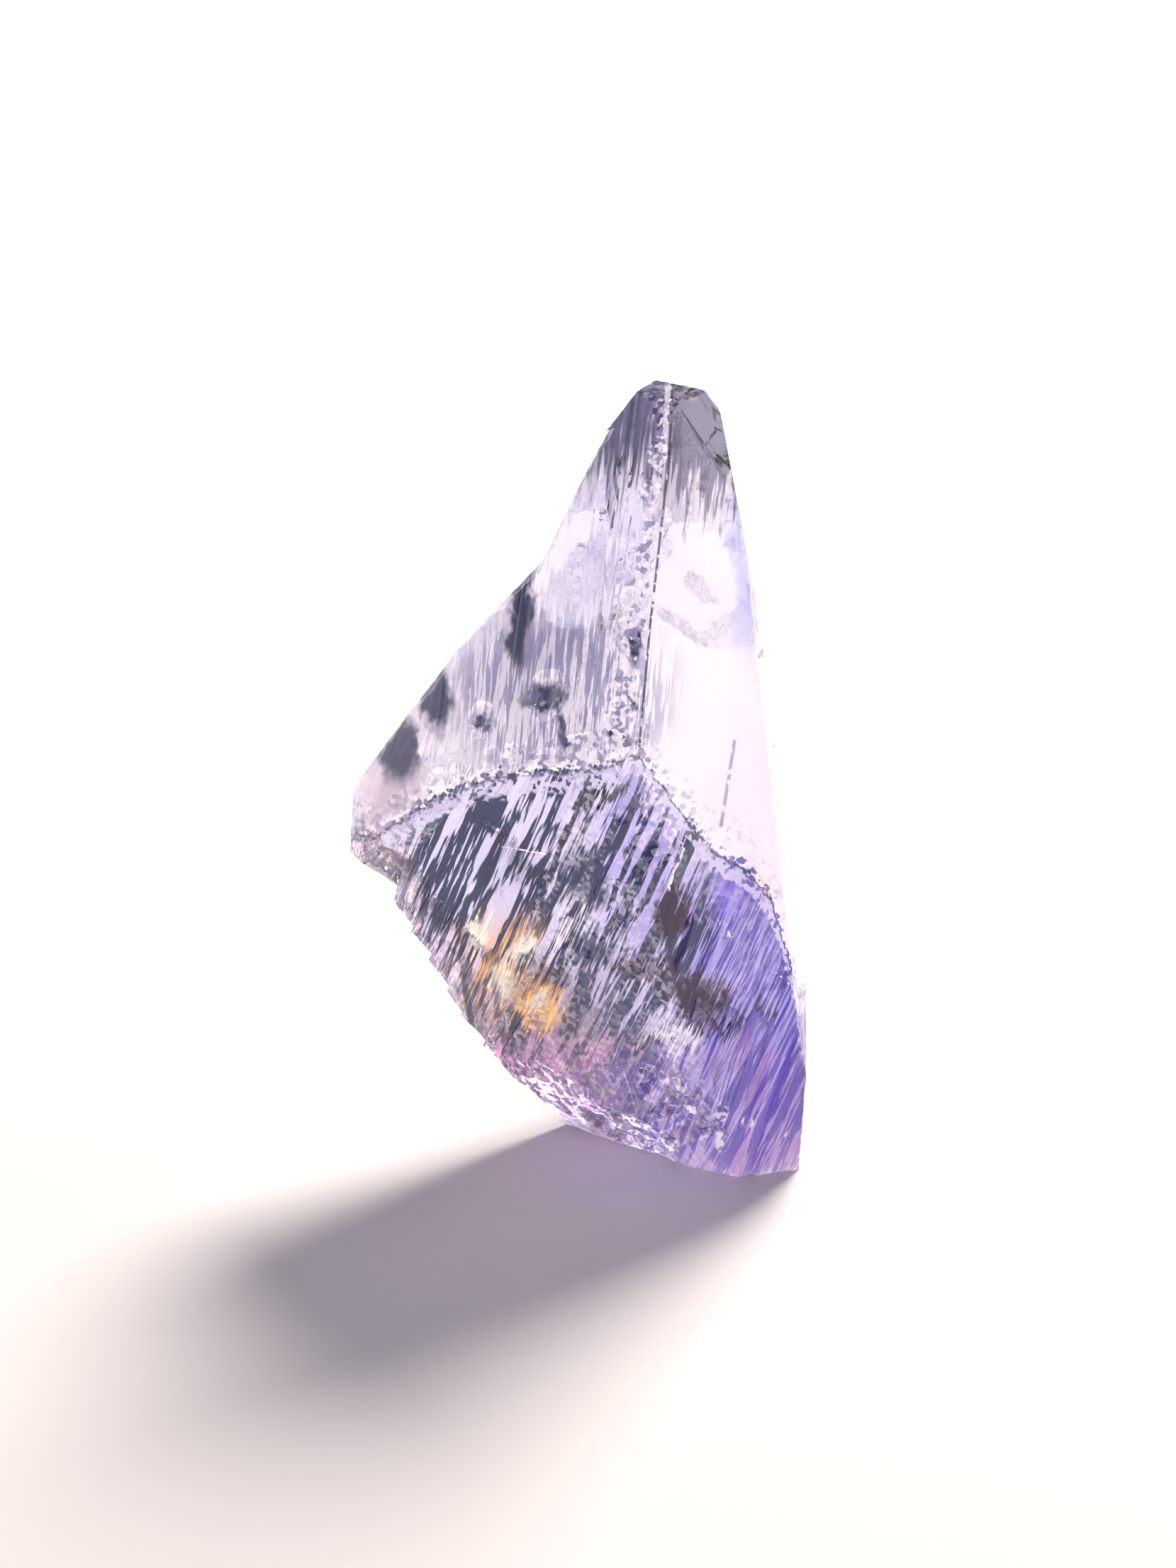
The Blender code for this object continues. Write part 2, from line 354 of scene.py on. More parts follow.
def edge_slab(name, start, end, outward, inset, reach, rough, grain, frost, seed):
    """Slab that wears an edge down to a rough strip: a flat grid along the edge, with broken grain."""
    along = unit(end - start)
    outward = unit(outward - along * (outward @ along))
    length = np.linalg.norm(end - start)
    places = np.linspace(-reach, reach, int(2.0 * reach / EDGE_CELL) + 2)
    reaches = np.linspace(-EDGE_OVERRUN, length + EDGE_OVERRUN, int(length / EDGE_CELL) + 2)

    def heights(s, t):
        """Broken grain about the inset depth, deeper in some stretches of the edge."""
        wander = EDGE_WANDER * inset * lattice_noise(t / EDGE_WANDER_SIZE, s * 0.0, seed + 2)
        return -inset + wander + rough * broken_noise(s, t, grain, seed)

    return slab(name, outward, start, along, places, reaches, heights, frost, EDGE_COVER)


def scar_ball(name, number, place, bearing, tilt, radius, depth, frost):
    """Ball that bites a shell-shaped scar: its radius swells by sines of direction and by ripples.

    The ripples are rings about the place where the break started, as in broken glass.
    """
    opening, place = leaning(bearing, tilt, place)
    centre = place + opening * (radius - depth)
    cell = SMALL_SCAR_CELL if radius < LARGE_SCAR else LARGE_SCAR_CELL
    rings = max(FEWEST_RINGS, int(pi * radius / cell))
    spokes = 2 * rings
    polar, turn = np.meshgrid(np.linspace(0.0, pi, rings + 1)[1:-1], np.arange(spokes) * 2.0 * pi / spokes,
                              indexing="ij")
    out = np.stack([np.sin(polar) * np.cos(turn), np.sin(polar) * np.sin(turn), np.cos(polar)], axis=-1)
    out = np.concatenate([out.reshape(-1, 3), at(0, 0, 1)[None], at(0, 0, -1)[None]])
    wave = (np.sin(9.0 * out[:, 0] + number) * np.sin(7.0 * out[:, 1] - 2.0 * number)
            * np.sin(8.0 * out[:, 2] + 1.0))
    start = unit(-opening + START_ASIDE * unit(np.cross(opening, ASIDE)))
    away = np.arccos(np.clip(out @ start, -1.0, 1.0)) * radius
    ripple = (RIPPLE_HEIGHT * np.sin(away / RIPPLE_SPACING)
              + SCAR_GRAIN * broken_noise(away, out[:, 2] * radius, SCAR_GRAIN_SIZE, number))
    points = centre + out * (radius * (1.0 + SCAR_WAVE * wave) + ripple)[:, None]
    index = np.arange((rings - 1) * spokes).reshape(rings - 1, spokes)
    beside = np.roll(index, -1, axis=1)
    a, b, c, d = index[:-1], index[1:], beside[1:], beside[:-1]
    sides = np.concatenate([np.stack([a, b, c], -1).reshape(-1, 3), np.stack([a, c, d], -1).reshape(-1, 3)])
    top = np.stack([np.full(spokes, index.size), index[0], beside[0]], axis=-1)
    bottom = np.stack([np.full(spokes, index.size + 1), beside[-1], index[-1]], axis=-1)
    return new_mesh(name, points, np.concatenate([sides, top, bottom]), frost)


# The stone's faces, with the texture of each

FRONT = {
    "right_face": face(through(RIDGE_TOP, JUNCTION, RIGHT_CORNER), relief(0.16, 0.3, swell=0.006, seed=11)),
    "left_face": face(through(RIDGE_TOP, JUNCTION, LEFT_SHOULDER), relief(
        0.12, 0.2, fine=((0.07, 0.26), (0.008, 0.05), 0.018), fade=(-4.3, -3.0), swell=0.012, seed=21)),
    "lower_middle_face": face(through(JUNCTION, STEP_FOOT, MIDDLE_FOOT), None),
    "lower_right_face": face(through(JUNCTION, RIGHT_CORNER, RIGHT_FOOT), relief(
        0.12, 0.2, coarse=(0.9, 8.0, 0.0), fine=((0.06, 0.2), (0.006, 0.035), 0.015), seed=41), DOWN_STEPS),
    "front_right_bevel": face(leaning(82, 8, (4.85, -2.75, 8.85)), relief(
        0.12, 0.3, fine=((0.1, 0.4), (0.004, 0.02), 0.015), seed=51)),
    "ridge_strip": face(leaning(12, 18, (1.4, -4.9, 11.9)), relief(0.1, 0.4, swell=0.003, seed=61)),
}
RIGHT_SIDE = {
    "right_side_high": face(leaning(91, 11, (4.3, -0.75, 14.65)), relief(
        0.15, 0.3, fine=((0.12, 0.5), (0.004, 0.025), 0.015), seed=71)),
    "right_side_middle": face(leaning(90, 8, (5.05, -0.4, 9.7)), relief(
        0.12, 0.3, fine=((0.1, 0.45), (0.004, 0.03), 0.015), seed=81)),
    "right_side_low": face(leaning(90, -3, (5.7, -3.3, 2.85)), relief(
        0.1, 0.2, fine=((0.1, 0.4), (0.006, 0.03), 0.015), rough=0.012, grain=0.5, frost=0.15, seed=91)),
}
APEX = {
    "apex_top": face(through(RIDGE_TOP, APEX_BACK, APEX_RIGHT), relief(
        0.08, 0.08, rough=0.012, grain=0.4, frost=0.25, seed=101)),
    "apex_left": face(leaning(-115, 36, (1.1, -1.25, 19.35)), relief(
        0.1, 0.1, rough=0.01, grain=0.5, seed=111)),
    "apex_back": face(leaning(150, 33, (2.7, -0.95, 19.8)), relief(
        0.15, 0.3, fine=((0.15, 0.5), (0.004, 0.02), 0.015), seed=121)),
}
BACK = {
    "back_face": face(leaning(-176, 23, (3.6, 6.15, 5.8)), relief(
        0.15, 0.3, coarse=(-4.4, 4.6, 0.0), fine=((0.1, 0.4), (0.005, 0.03), 0.015), seed=131)),
    "back_right_bevel": face(leaning(136, 11, (5.35, 4.9, 7.0)), relief(
        0.12, 0.3, fine=((0.1, 0.3), (0.005, 0.03), 0.015), seed=141)),
    "back_left_face": face(leaning(-160, 8, (-5.0, 0.5, 10.5)), relief(
        0.15, 0.3, fine=((0.1, 0.4), (0.005, 0.04), 0.015), seed=151)),
    "back_low_face": face(leaning(-177, -12, (3.6, 6.2, 5.0)), relief(
        0.12, 0.2, rough=0.02, grain=0.6, frost=0.2, seed=161)),
    "back_under_face": face(leaning(-140, -24, (-2.0, 1.85, 5.6)), relief(
        0.13, 0.25, fine=((0.15, 0.5), (0.01, 0.05), 0.02), rough=0.012, grain=0.7, frost=0.1, seed=171)),
}
GROUND = {"ground": face(leaning(0, -90, (0, 0, 0)), None)}
SHARED = {**FRONT, **RIGHT_SIDE, **APEX, **BACK}
TRUNK_ONLY = {
    "lower_left_face": face(through(JUNCTION, LEDGE_BEND, LEFT_FOOT), relief(
        0.12, 0.2, coarse=(-4.6, 4.6, LOWER_FACE_BEND), fine=((0.05, 0.2), (0.006, 0.045), 0.015), seed=31),
        DOWN_STEPS),
    "low_left_undercut": face(leaning(-99, -42, (-2.8, -0.45, 2.55)), relief(
        0.1, 0.1, rough=0.03, grain=0.5, frost=0.3, seed=181)),
    "foot_undercut": face(through(UNDERCUT_CORNER, FRONT_REST, LEFT_REST), relief(
        0.1, 0.1, rough=0.03, grain=0.5, frost=0.3, seed=191)),
    "upper_left_slope": face(leaning(-112, 23.5, (0.15, -1.25, 17.75)), relief(
        0.12, 0.3, fine=((0.15, 0.5), (0.004, 0.03), 0.015), swell=0.02, seed=201)),
    "left_underside": face(leaning(-89, -23, (-4.3, -0.2, 5.2)), relief(
        0.1, 0.1, rough=0.02, grain=0.6, frost=0.2, seed=211)),
    "left_side": face(leaning(-92, 3, (-4.75, 0.45, 6.2)), relief(0.1, 0.1, rough=0.02, grain=0.6, seed=221)),
}
LOBE_ONLY = {
    "lobe_underside": face(through(LEDGE_BEND, LOBE_END, LOBE_FOOT), relief(
        0.08, 0.08, rough=0.03, grain=0.7, frost=0.3, seed=231), DOWN_STEPS),
    "shoulder_high": face(leaning(-110, 36, (-2.4, -0.85, 14.0)), relief(
        0.12, 0.25, fine=((0.15, 0.5), (0.004, 0.03), 0.015), swell=0.02, seed=241)),
    "shoulder_low": face(leaning(-111, 42, (-4.25, -0.3, 11.65)), relief(
        0.1, 0.15, rough=0.015, grain=0.8, swell=0.03, seed=251)),
    "lobe_slope": face(leaning(-103, 27, (-5.35, -0.1, 10.05)), relief(
        0.1, 0.12, rough=0.02, grain=0.8, swell=0.03, frost=0.1, seed=261)),
    "lobe_side": face(leaning(-93, 3, (-5.75, 0.45, 8.5)), relief(
        0.08, 0.08, rough=0.02, grain=0.6, frost=0.2, seed=271)),
    "lobe_corner": face(leaning(-82, -46, (-5.35, 0.25, 7.05)), relief(
        0.08, 0.08, rough=0.02, grain=0.6, frost=0.3, seed=281)),
}

# Worn edges between two faces: depth worn off, reach each side, grain height and size, frost
SHARED_EDGES = {
    ("left_face", "ridge_strip"): (0.10, 0.6, 0.06, 0.22, 0.9),
    ("left_face", "right_face"): (0.07, 0.5, 0.05, 0.2, 0.9),
    ("lower_right_face", "right_face"): (0.12, 0.7, 0.08, 0.4, 0.7),
    ("lower_right_face", "front_right_bevel"): (0.05, 0.5, 0.04, 0.3, 0.4),
    ("lower_right_face", "right_side_low"): (0.06, 0.5, 0.05, 0.3, 0.5),
    ("right_face", "front_right_bevel"): (0.025, 0.3, 0.012, 0.3, 0.2),
    ("back_face", "right_side_high"): (0.04, 0.4, 0.03, 0.3, 0.4),
    ("right_side_high", "apex_back"): (0.04, 0.4, 0.03, 0.3, 0.4),
    ("back_left_face", "right_side_middle"): (0.05, 0.5, 0.03, 0.3, 0.4),
    ("right_side_low", "back_right_bevel"): (0.05, 0.5, 0.03, 0.3, 0.4),
    ("apex_top", "right_face"): (0.03, 0.3, 0.02, 0.2, 0.4),
    ("apex_top", "left_face"): (0.03, 0.3, 0.02, 0.2, 0.4),
    ("apex_top", "apex_back"): (0.03, 0.3, 0.02, 0.2, 0.4),
    ("apex_top", "apex_left"): (0.03, 0.3, 0.02, 0.2, 0.4),
    ("apex_back", "right_face"): (0.03, 0.3, 0.02, 0.3, 0.3),
    ("apex_back", "back_face"): (0.04, 0.4, 0.02, 0.3, 0.3),
    ("back_left_face", "back_under_face"): (0.06, 0.5, 0.05, 0.4, 0.4),
    ("ridge_strip", "right_face"): (0.006, 0.2, 0.003, 0.3, 0.2),
}
TRUNK_EDGES = {
    ("lower_left_face", "left_face"): (0.12, 0.7, 0.07, 0.3, 0.8),
    ("lower_middle_face", "foot_undercut"): (0.14, 0.8, 0.06, 0.4, 0.5),
    ("upper_left_slope", "left_face"): (0.06, 0.5, 0.03, 0.5, 0.2),
    ("upper_left_slope", "back_left_face"): (0.05, 0.5, 0.03, 0.4, 0.3),
    ("low_left_undercut", "foot_undercut"): (0.08, 0.5, 0.04, 0.4, 0.4),
    ("lower_left_face", "lower_middle_face"): (0.07, 0.7, 0.07, 0.5, 0.3),
}
LOBE_EDGES = {
    ("lobe_underside", "left_face"): (0.12, 0.8, 0.07, 0.4, 0.7),
    ("left_face", "lower_middle_face"): (0.10, 0.6, 0.05, 0.4, 0.4),
    ("shoulder_low", "left_face"): (0.05, 0.5, 0.03, 0.5, 0.3),
    ("shoulder_high", "left_face"): (0.05, 0.5, 0.03, 0.5, 0.2),
    ("shoulder_high", "back_left_face"): (0.05, 0.5, 0.03, 0.5, 0.2),
    ("lobe_corner", "lobe_underside"): (0.08, 0.6, 0.05, 0.4, 0.5),
}

# Fracture scars: where each bites, the way it opens, its radius and depth, and its frost
SCARS = {
    "fracture_upper": ((2.35, -4.7, 9.8), 25, 5, 2.2, 0.42, 0.5),
    "fracture_middle": ((3.6, -4.15, 8.05), 30, 6, 3.4, 0.55, 0.15),
    "fracture_lower": ((4.65, -3.65, 6.3), 34, 4, 2.6, 0.42, 0.1),
    "fracture_flake": ((2.95, -4.45, 9.1), 5, 40, 1.0, 0.26, 0.4),
    "right_notch": ((5.65, -3.1, 4.25), 75, -10, 0.7, 0.22, 0.4),
    "junction_hollow": ((0.55, -4.65, 10.65), -10, -30, 1.2, 0.32, 0.1),
    "left_face_pit": ((-0.85, -3.15, 12.45), -40, 30, 1.1, 0.26, 0.3),
    "left_face_small_pit": ((-2.4, -2.1, 11.6), -50, 25, 0.8, 0.18, 0.3),
    "ridge_pit": ((1.25, -4.25, 14.1), -15, 10, 0.45, 0.2, 0.1),
    "ridge_low_pit": ((1.3, -4.95, 12.95), 5, 15, 0.4, 0.14, 0.2),
    "ridge_chip_high": ((1.9, -2.75, 18.0), 0, 15, 0.8, 0.12, 0.5),
    "ridge_chip_middle": ((1.7, -3.2, 16.9), -5, 15, 0.7, 0.12, 0.5),
    "ridge_chip_low": ((1.35, -4.0, 15.0), -20, 15, 0.9, 0.14, 0.5),
    "shoulder_chip": ((-1.6, -1.0, 14.95), -80, 35, 0.8, 0.2, 0.2),
    "under_chip": ((0.6, -2.0, 0.9), -50, -45, 1.4, 0.25, 0.3),
    "lower_right_scar": ((3.3, -4.0, 4.9), 15, -5, 3.0, 0.2, 0.1),
    "back_shell_high": ((1.1, 2.5, 13.4), -175, 20, 4.6, 0.55, 0.1),
    "back_shell_low": ((-1.4, 2.2, 7.4), -150, -8, 4.0, 0.5, 0.15),
    "back_right_shell": ((4.9, 3.2, 9.6), 132, 12, 4.5, 0.5, 0.1),
}

# The front as the photo shows it: places are (right, up) in millimetres, seen from 18 degrees above
VIEW_RISE = radians(18.0)
VIEW_UP = at(0.0, sin(VIEW_RISE), cos(VIEW_RISE))
VIEW_DEPTH = at(0.0, cos(VIEW_RISE), -sin(VIEW_RISE))

# Bands of small chips: the line they follow, their count, spread to each side, radius, depth and frost
CHIP_BANDS = {
    "fracture_rim": (((1.45, 9.62), (2.23, 8.63), (2.53, 8.1), (3.18, 7.4), (3.7, 7.02), (4.23, 6.72),
                      (4.76, 5.99), (4.99, 5.33), (5.5, 3.6)), 30, 0.08, (0.35, 0.8), (0.05, 0.13), 0.35),
    "fracture_flakes": (((2.0, 7.9), (2.9, 6.7), (3.9, 6.2), (4.5, 5.5)),
                        20, 0.4, (0.3, 0.9), (0.03, 0.09), 0.5),
    "junction_flakes": (((0.4, 9.45), (0.95, 9.6), (1.5, 9.2), (1.9, 8.6)),
                        12, 0.2, (0.25, 0.6), (0.05, 0.11), 0.4),
    "ridge_flakes": (((2.1, 17.9), (2.0, 16.6), (1.69, 14.63), (1.23, 13.2), (1.16, 11.4), (1.2, 10.0)),
                     22, 0.12, (0.25, 0.6), (0.04, 0.09), 0.5),
    "ledge_flakes": (((-4.1, 8.35), (-3.4, 8.65), (-2.2, 9.1), (-0.4, 9.3), (0.5, 9.4)),
                     22, 0.12, (0.3, 0.8), (0.03, 0.08), 0.5),
    "middle_break": (((1.5, 8.2), (0.9, 6.4), (0.2, 4.9), (-0.5, 3.6)),
                     22, 0.22, (0.3, 0.9), (0.04, 0.1), 0.3),
    "foot_flakes": (((1.6, 1.3), (2.6, 0.6), (3.8, 0.1), (5.2, -0.3)),
                    20, 0.25, (0.25, 0.5), (0.04, 0.09), 0.6),
}


# Carving

def on_front(right, up):
    """Where a line of sight at a place of the front view meets the flat faces, and that face's outward."""
    start = at(right, 0.0, 0.0) + VIEW_UP * up - BOX_CENTRE
    met = []
    for one in [*FRONT.values(), TRUNK_ONLY["lower_left_face"], TRUNK_ONLY["foot_undercut"]]:
        facing = one.outward @ VIEW_DEPTH
        if facing < -LEAST_FACING:
            met.append((one.outward @ (one.point - start) / facing, one.outward))
    reach, outward = max(met, key=lambda pair: pair[0])
    return start + VIEW_DEPTH * reach, outward


def chip_band(name, line, count, spread, radii, depths, frost, seed):
    """Chips strewn along a line of the front view, each a small scar that opens about outward."""
    chance = np.random.default_rng(seed)
    line = np.array(line)
    lengths = np.concatenate([[0.0], np.cumsum(np.linalg.norm(np.diff(line, axis=0), axis=1))])
    made = []
    for number, along in enumerate(np.sort(chance.uniform(0.0, lengths[-1], count))):
        right = np.interp(along, lengths, line[:, 0]) + chance.normal(0.0, spread)
        up = np.interp(along, lengths, line[:, 1]) + chance.normal(0.0, spread)
        place, outward = on_front(right, up)
        opening = unit(outward + chance.normal(0.0, CHIP_TURN, 3))
        bearing = degrees(atan2(opening[0], -opening[1]))
        tilt = degrees(asin(opening[2]))
        made.append(scar_ball(f"{name}_{number}", seed + number, place, bearing, tilt, chance.uniform(*radii),
                              chance.uniform(*depths), frost * chance.uniform(*CHIP_FROST)))
    return made


def cleaved_block(name, faces, skin, set_back=0.0):
    """Convex block behind every face, each moved out by the skin, and the corners on each face."""
    stone = bmesh.new()
    bmesh.ops.create_cube(stone, size=BLOCK_SIZE, matrix=Matrix.Translation(HEART))
    for label, one in faces.items():
        lift = 0.0 if label == "ground" else skin
        place = one.point + one.outward * (lift - (set_back if label in SHARED else 0.0))
        everything = stone.verts[:] + stone.edges[:] + stone.faces[:]
        bmesh.ops.bisect_plane(stone, geom=everything, dist=CUT_TOLERANCE, plane_co=Vector(place),
                               plane_no=Vector(one.outward), clear_outer=True)
        rim = [edge for edge in stone.edges if edge.is_boundary]
        if rim:
            bmesh.ops.holes_fill(stone, edges=rim)
    bmesh.ops.remove_doubles(stone, verts=stone.verts, dist=SAME_CORNER)
    bmesh.ops.recalc_face_normals(stone, faces=stone.faces)
    bmesh.ops.triangulate(stone, faces=stone.faces)
    corners = np.array([vert.co for vert in stone.verts])
    triangles = np.array([[vert.index for vert in one.verts] for one in stone.faces])
    stone.free()
    return new_mesh(name, corners, triangles, 0.0), corners


def lies_on(corners, one, tolerance):
    """Which corners of the block lie on a face, give or take the skin."""
    return np.abs((corners - one.point) @ one.outward) < tolerance


def corners_on(corners, one):
    return corners[lies_on(corners, one, ON_FACE)]


def edge_cutters(edges, faces, corners, wear_share):
    """Worn strips for the named edges that the block has."""
    made = []
    for number, ((first, second), wear) in enumerate(edges.items()):
        a, b = faces[first], faces[second]
        on_both = corners[lies_on(corners, a, ON_EDGE) & lies_on(corners, b, ON_EDGE)]
        if len(on_both) < 2:
            raise ValueError(f"no edge between {first} and {second}")
        line = unit(np.cross(a.outward, b.outward))
        ends = on_both @ line
        start, end = on_both[ends.argmin()], on_both[ends.argmax()]
        inset, reach, rough, grain, frost = wear
        shift = (a.outward + b.outward) * SKIN / (1.0 + a.outward @ b.outward)
        made.append(edge_slab(f"edge_{number}", start - shift, end - shift, a.outward + b.outward,
                              inset, reach, rough * wear_share, grain, frost,
                              FIRST_EDGE_SEED + EDGE_SEED_STEP * number))
    return made


def carve(stone, cutters, operation='DIFFERENCE'):
    """Apply one Boolean after another to the stone, then remove the cutters."""
    for cutter in cutters:
        step = stone.modifiers.new(cutter.name, 'BOOLEAN')
        step.operation = operation
        step.solver = 'MANIFOLD'
        step.object = cutter
    evaluated = stone.evaluated_get(bpy.context.evaluated_depsgraph_get())
    carved = bpy.data.meshes.new_from_object(evaluated)
    stone.modifiers.clear()
    worn_out = stone.data
    stone.data = carved
    bpy.data.meshes.remove(worn_out)
    for cutter in cutters:
        used = cutter.data
        bpy.data.objects.remove(cutter)
        bpy.data.meshes.remove(used)


def carve_stone(name, edge_wear):
    """The whole stone: trunk and lobe carved apart, joined, then carved by what they share."""
    trunk_faces = {**SHARED, **GROUND, **TRUNK_ONLY}
    lobe_faces = {**SHARED, **GROUND, **LOBE_ONLY}
    stone, corners = cleaved_block(name, trunk_faces, SKIN)
    lobe, lobe_corners = cleaved_block("lobe", lobe_faces, SKIN, LOBE_SET_BACK)
    carve(stone, [relief_slab(label, one, corners_on(corners, one)) for label, one in TRUNK_ONLY.items()]
          + edge_cutters(TRUNK_EDGES, trunk_faces, corners, edge_wear))
    carve(lobe, [relief_slab(label, one, corners_on(lobe_corners, one)) for label, one in LOBE_ONLY.items()]
          + edge_cutters(LOBE_EDGES, lobe_faces, lobe_corners, edge_wear))
    carve(stone, [lobe], 'UNION')
    every_corner = np.concatenate([corners, lobe_corners])
    carve(stone, [relief_slab(label, one, corners_on(every_corner, one))
                  for label, one in SHARED.items() if one.relief is not None])
    carve(stone, edge_cutters(SHARED_EDGES, trunk_faces, corners, edge_wear))
    carve(stone, [scar_ball(label, number, *scar) for number, (label, scar) in enumerate(SCARS.items())])
    for number, (label, chips) in enumerate(CHIP_BANDS.items()):
        first, *others = chip_band(label, *chips, seed=FIRST_CHIP_SEED + CHIP_SEED_STEP * number)
        carve(first, others, 'UNION')
        carve(stone, [first])
    return stone


def spread_frost(mesh):
    """Turn the frost kept on faces into a soft value on points, the mean of the faces around each."""
    on_faces = np.zeros(len(mesh.polygons), np.float32)
    mesh.attributes["cut_frost"].data.foreach_get("value", on_faces)
    corner_points = np.zeros(len(mesh.loops), np.int32)
    mesh.loops.foreach_get("vertex_index", corner_points)
    sizes = np.zeros(len(mesh.polygons), np.int32)
    mesh.polygons.foreach_get("loop_total", sizes)
    count = len(mesh.vertices)
    total = np.bincount(corner_points, np.repeat(on_faces, sizes), count)
    shared_by = np.maximum(np.bincount(corner_points, minlength=count), 1)
    mesh.attributes.remove(mesh.attributes["cut_frost"])
    frost = mesh.attributes.new("frost", 'FLOAT', 'POINT')
    frost.data.foreach_set("value", (total / shared_by).astype(np.float32))


# Colours of the stone, as the light one face lets through, and where each lies; some are painted light:
# painted shade, dark reflections, highlights and glints

TINTS = {
    "clear": (0.955, 0.93, 0.98),
    # Painted shade: the dark tip tint stands in for light lost to reflection inside the tip
    "tip_shade": (0.10, 0.095, 0.2),
    # Painted reflection: slate mostly paints the dark surroundings seen in the stone, in its streaks, lenses
    # and pits and in the shadow lines
    "slate": (0.035, 0.045, 0.12),
    "violet": (0.115, 0.08, 0.44),
    "mauve": (0.38, 0.23, 0.56),
    # Amber: partly the stone's own amber, partly painted glints of light refracted through it
    "amber": (1.0, 0.60, 0.26),
    # Black: painted shade in the junction hollow
    "black": (0.012, 0.01, 0.025),
    "slate wash": (0.74, 0.71, 0.92),
    "periwinkle": (0.55, 0.50, 0.90),
    "bright violet": (0.40, 0.31, 1.0),
    "pink": (0.62, 0.36, 0.62),
    "rose": (1.0, 0.84, 0.93),
    "maroon": (0.05, 0.022, 0.07),
    "umber": (0.22, 0.16, 0.2),
    # Painted glint: gold of the glints low on the left
    "glint gold": (1.0, 0.95, 0.78),
    "bulge grey": (0.66, 0.55, 0.62),
    # Painted highlight: bluish light along the right rim and near the ridge
    "edge blue": (0.6, 0.62, 0.98),
    "white": (1.0, 0.97, 1.0),
    "shoulder grey": (0.36, 0.36, 0.54),
}

# Tints that the panel lets the user change
USER_TINTS = ("clear", "tip_shade", "slate", "violet", "mauve", "amber")

# How a patch lies: all through the stone with toothed rims, as the painted shade of the tip does, near the
# front, above or below the break, or below it in the dark streaks or the pale lines alone
THROUGH, NEAR, HIGH, LOW, STREAKED, PALE_LINED = range(6)
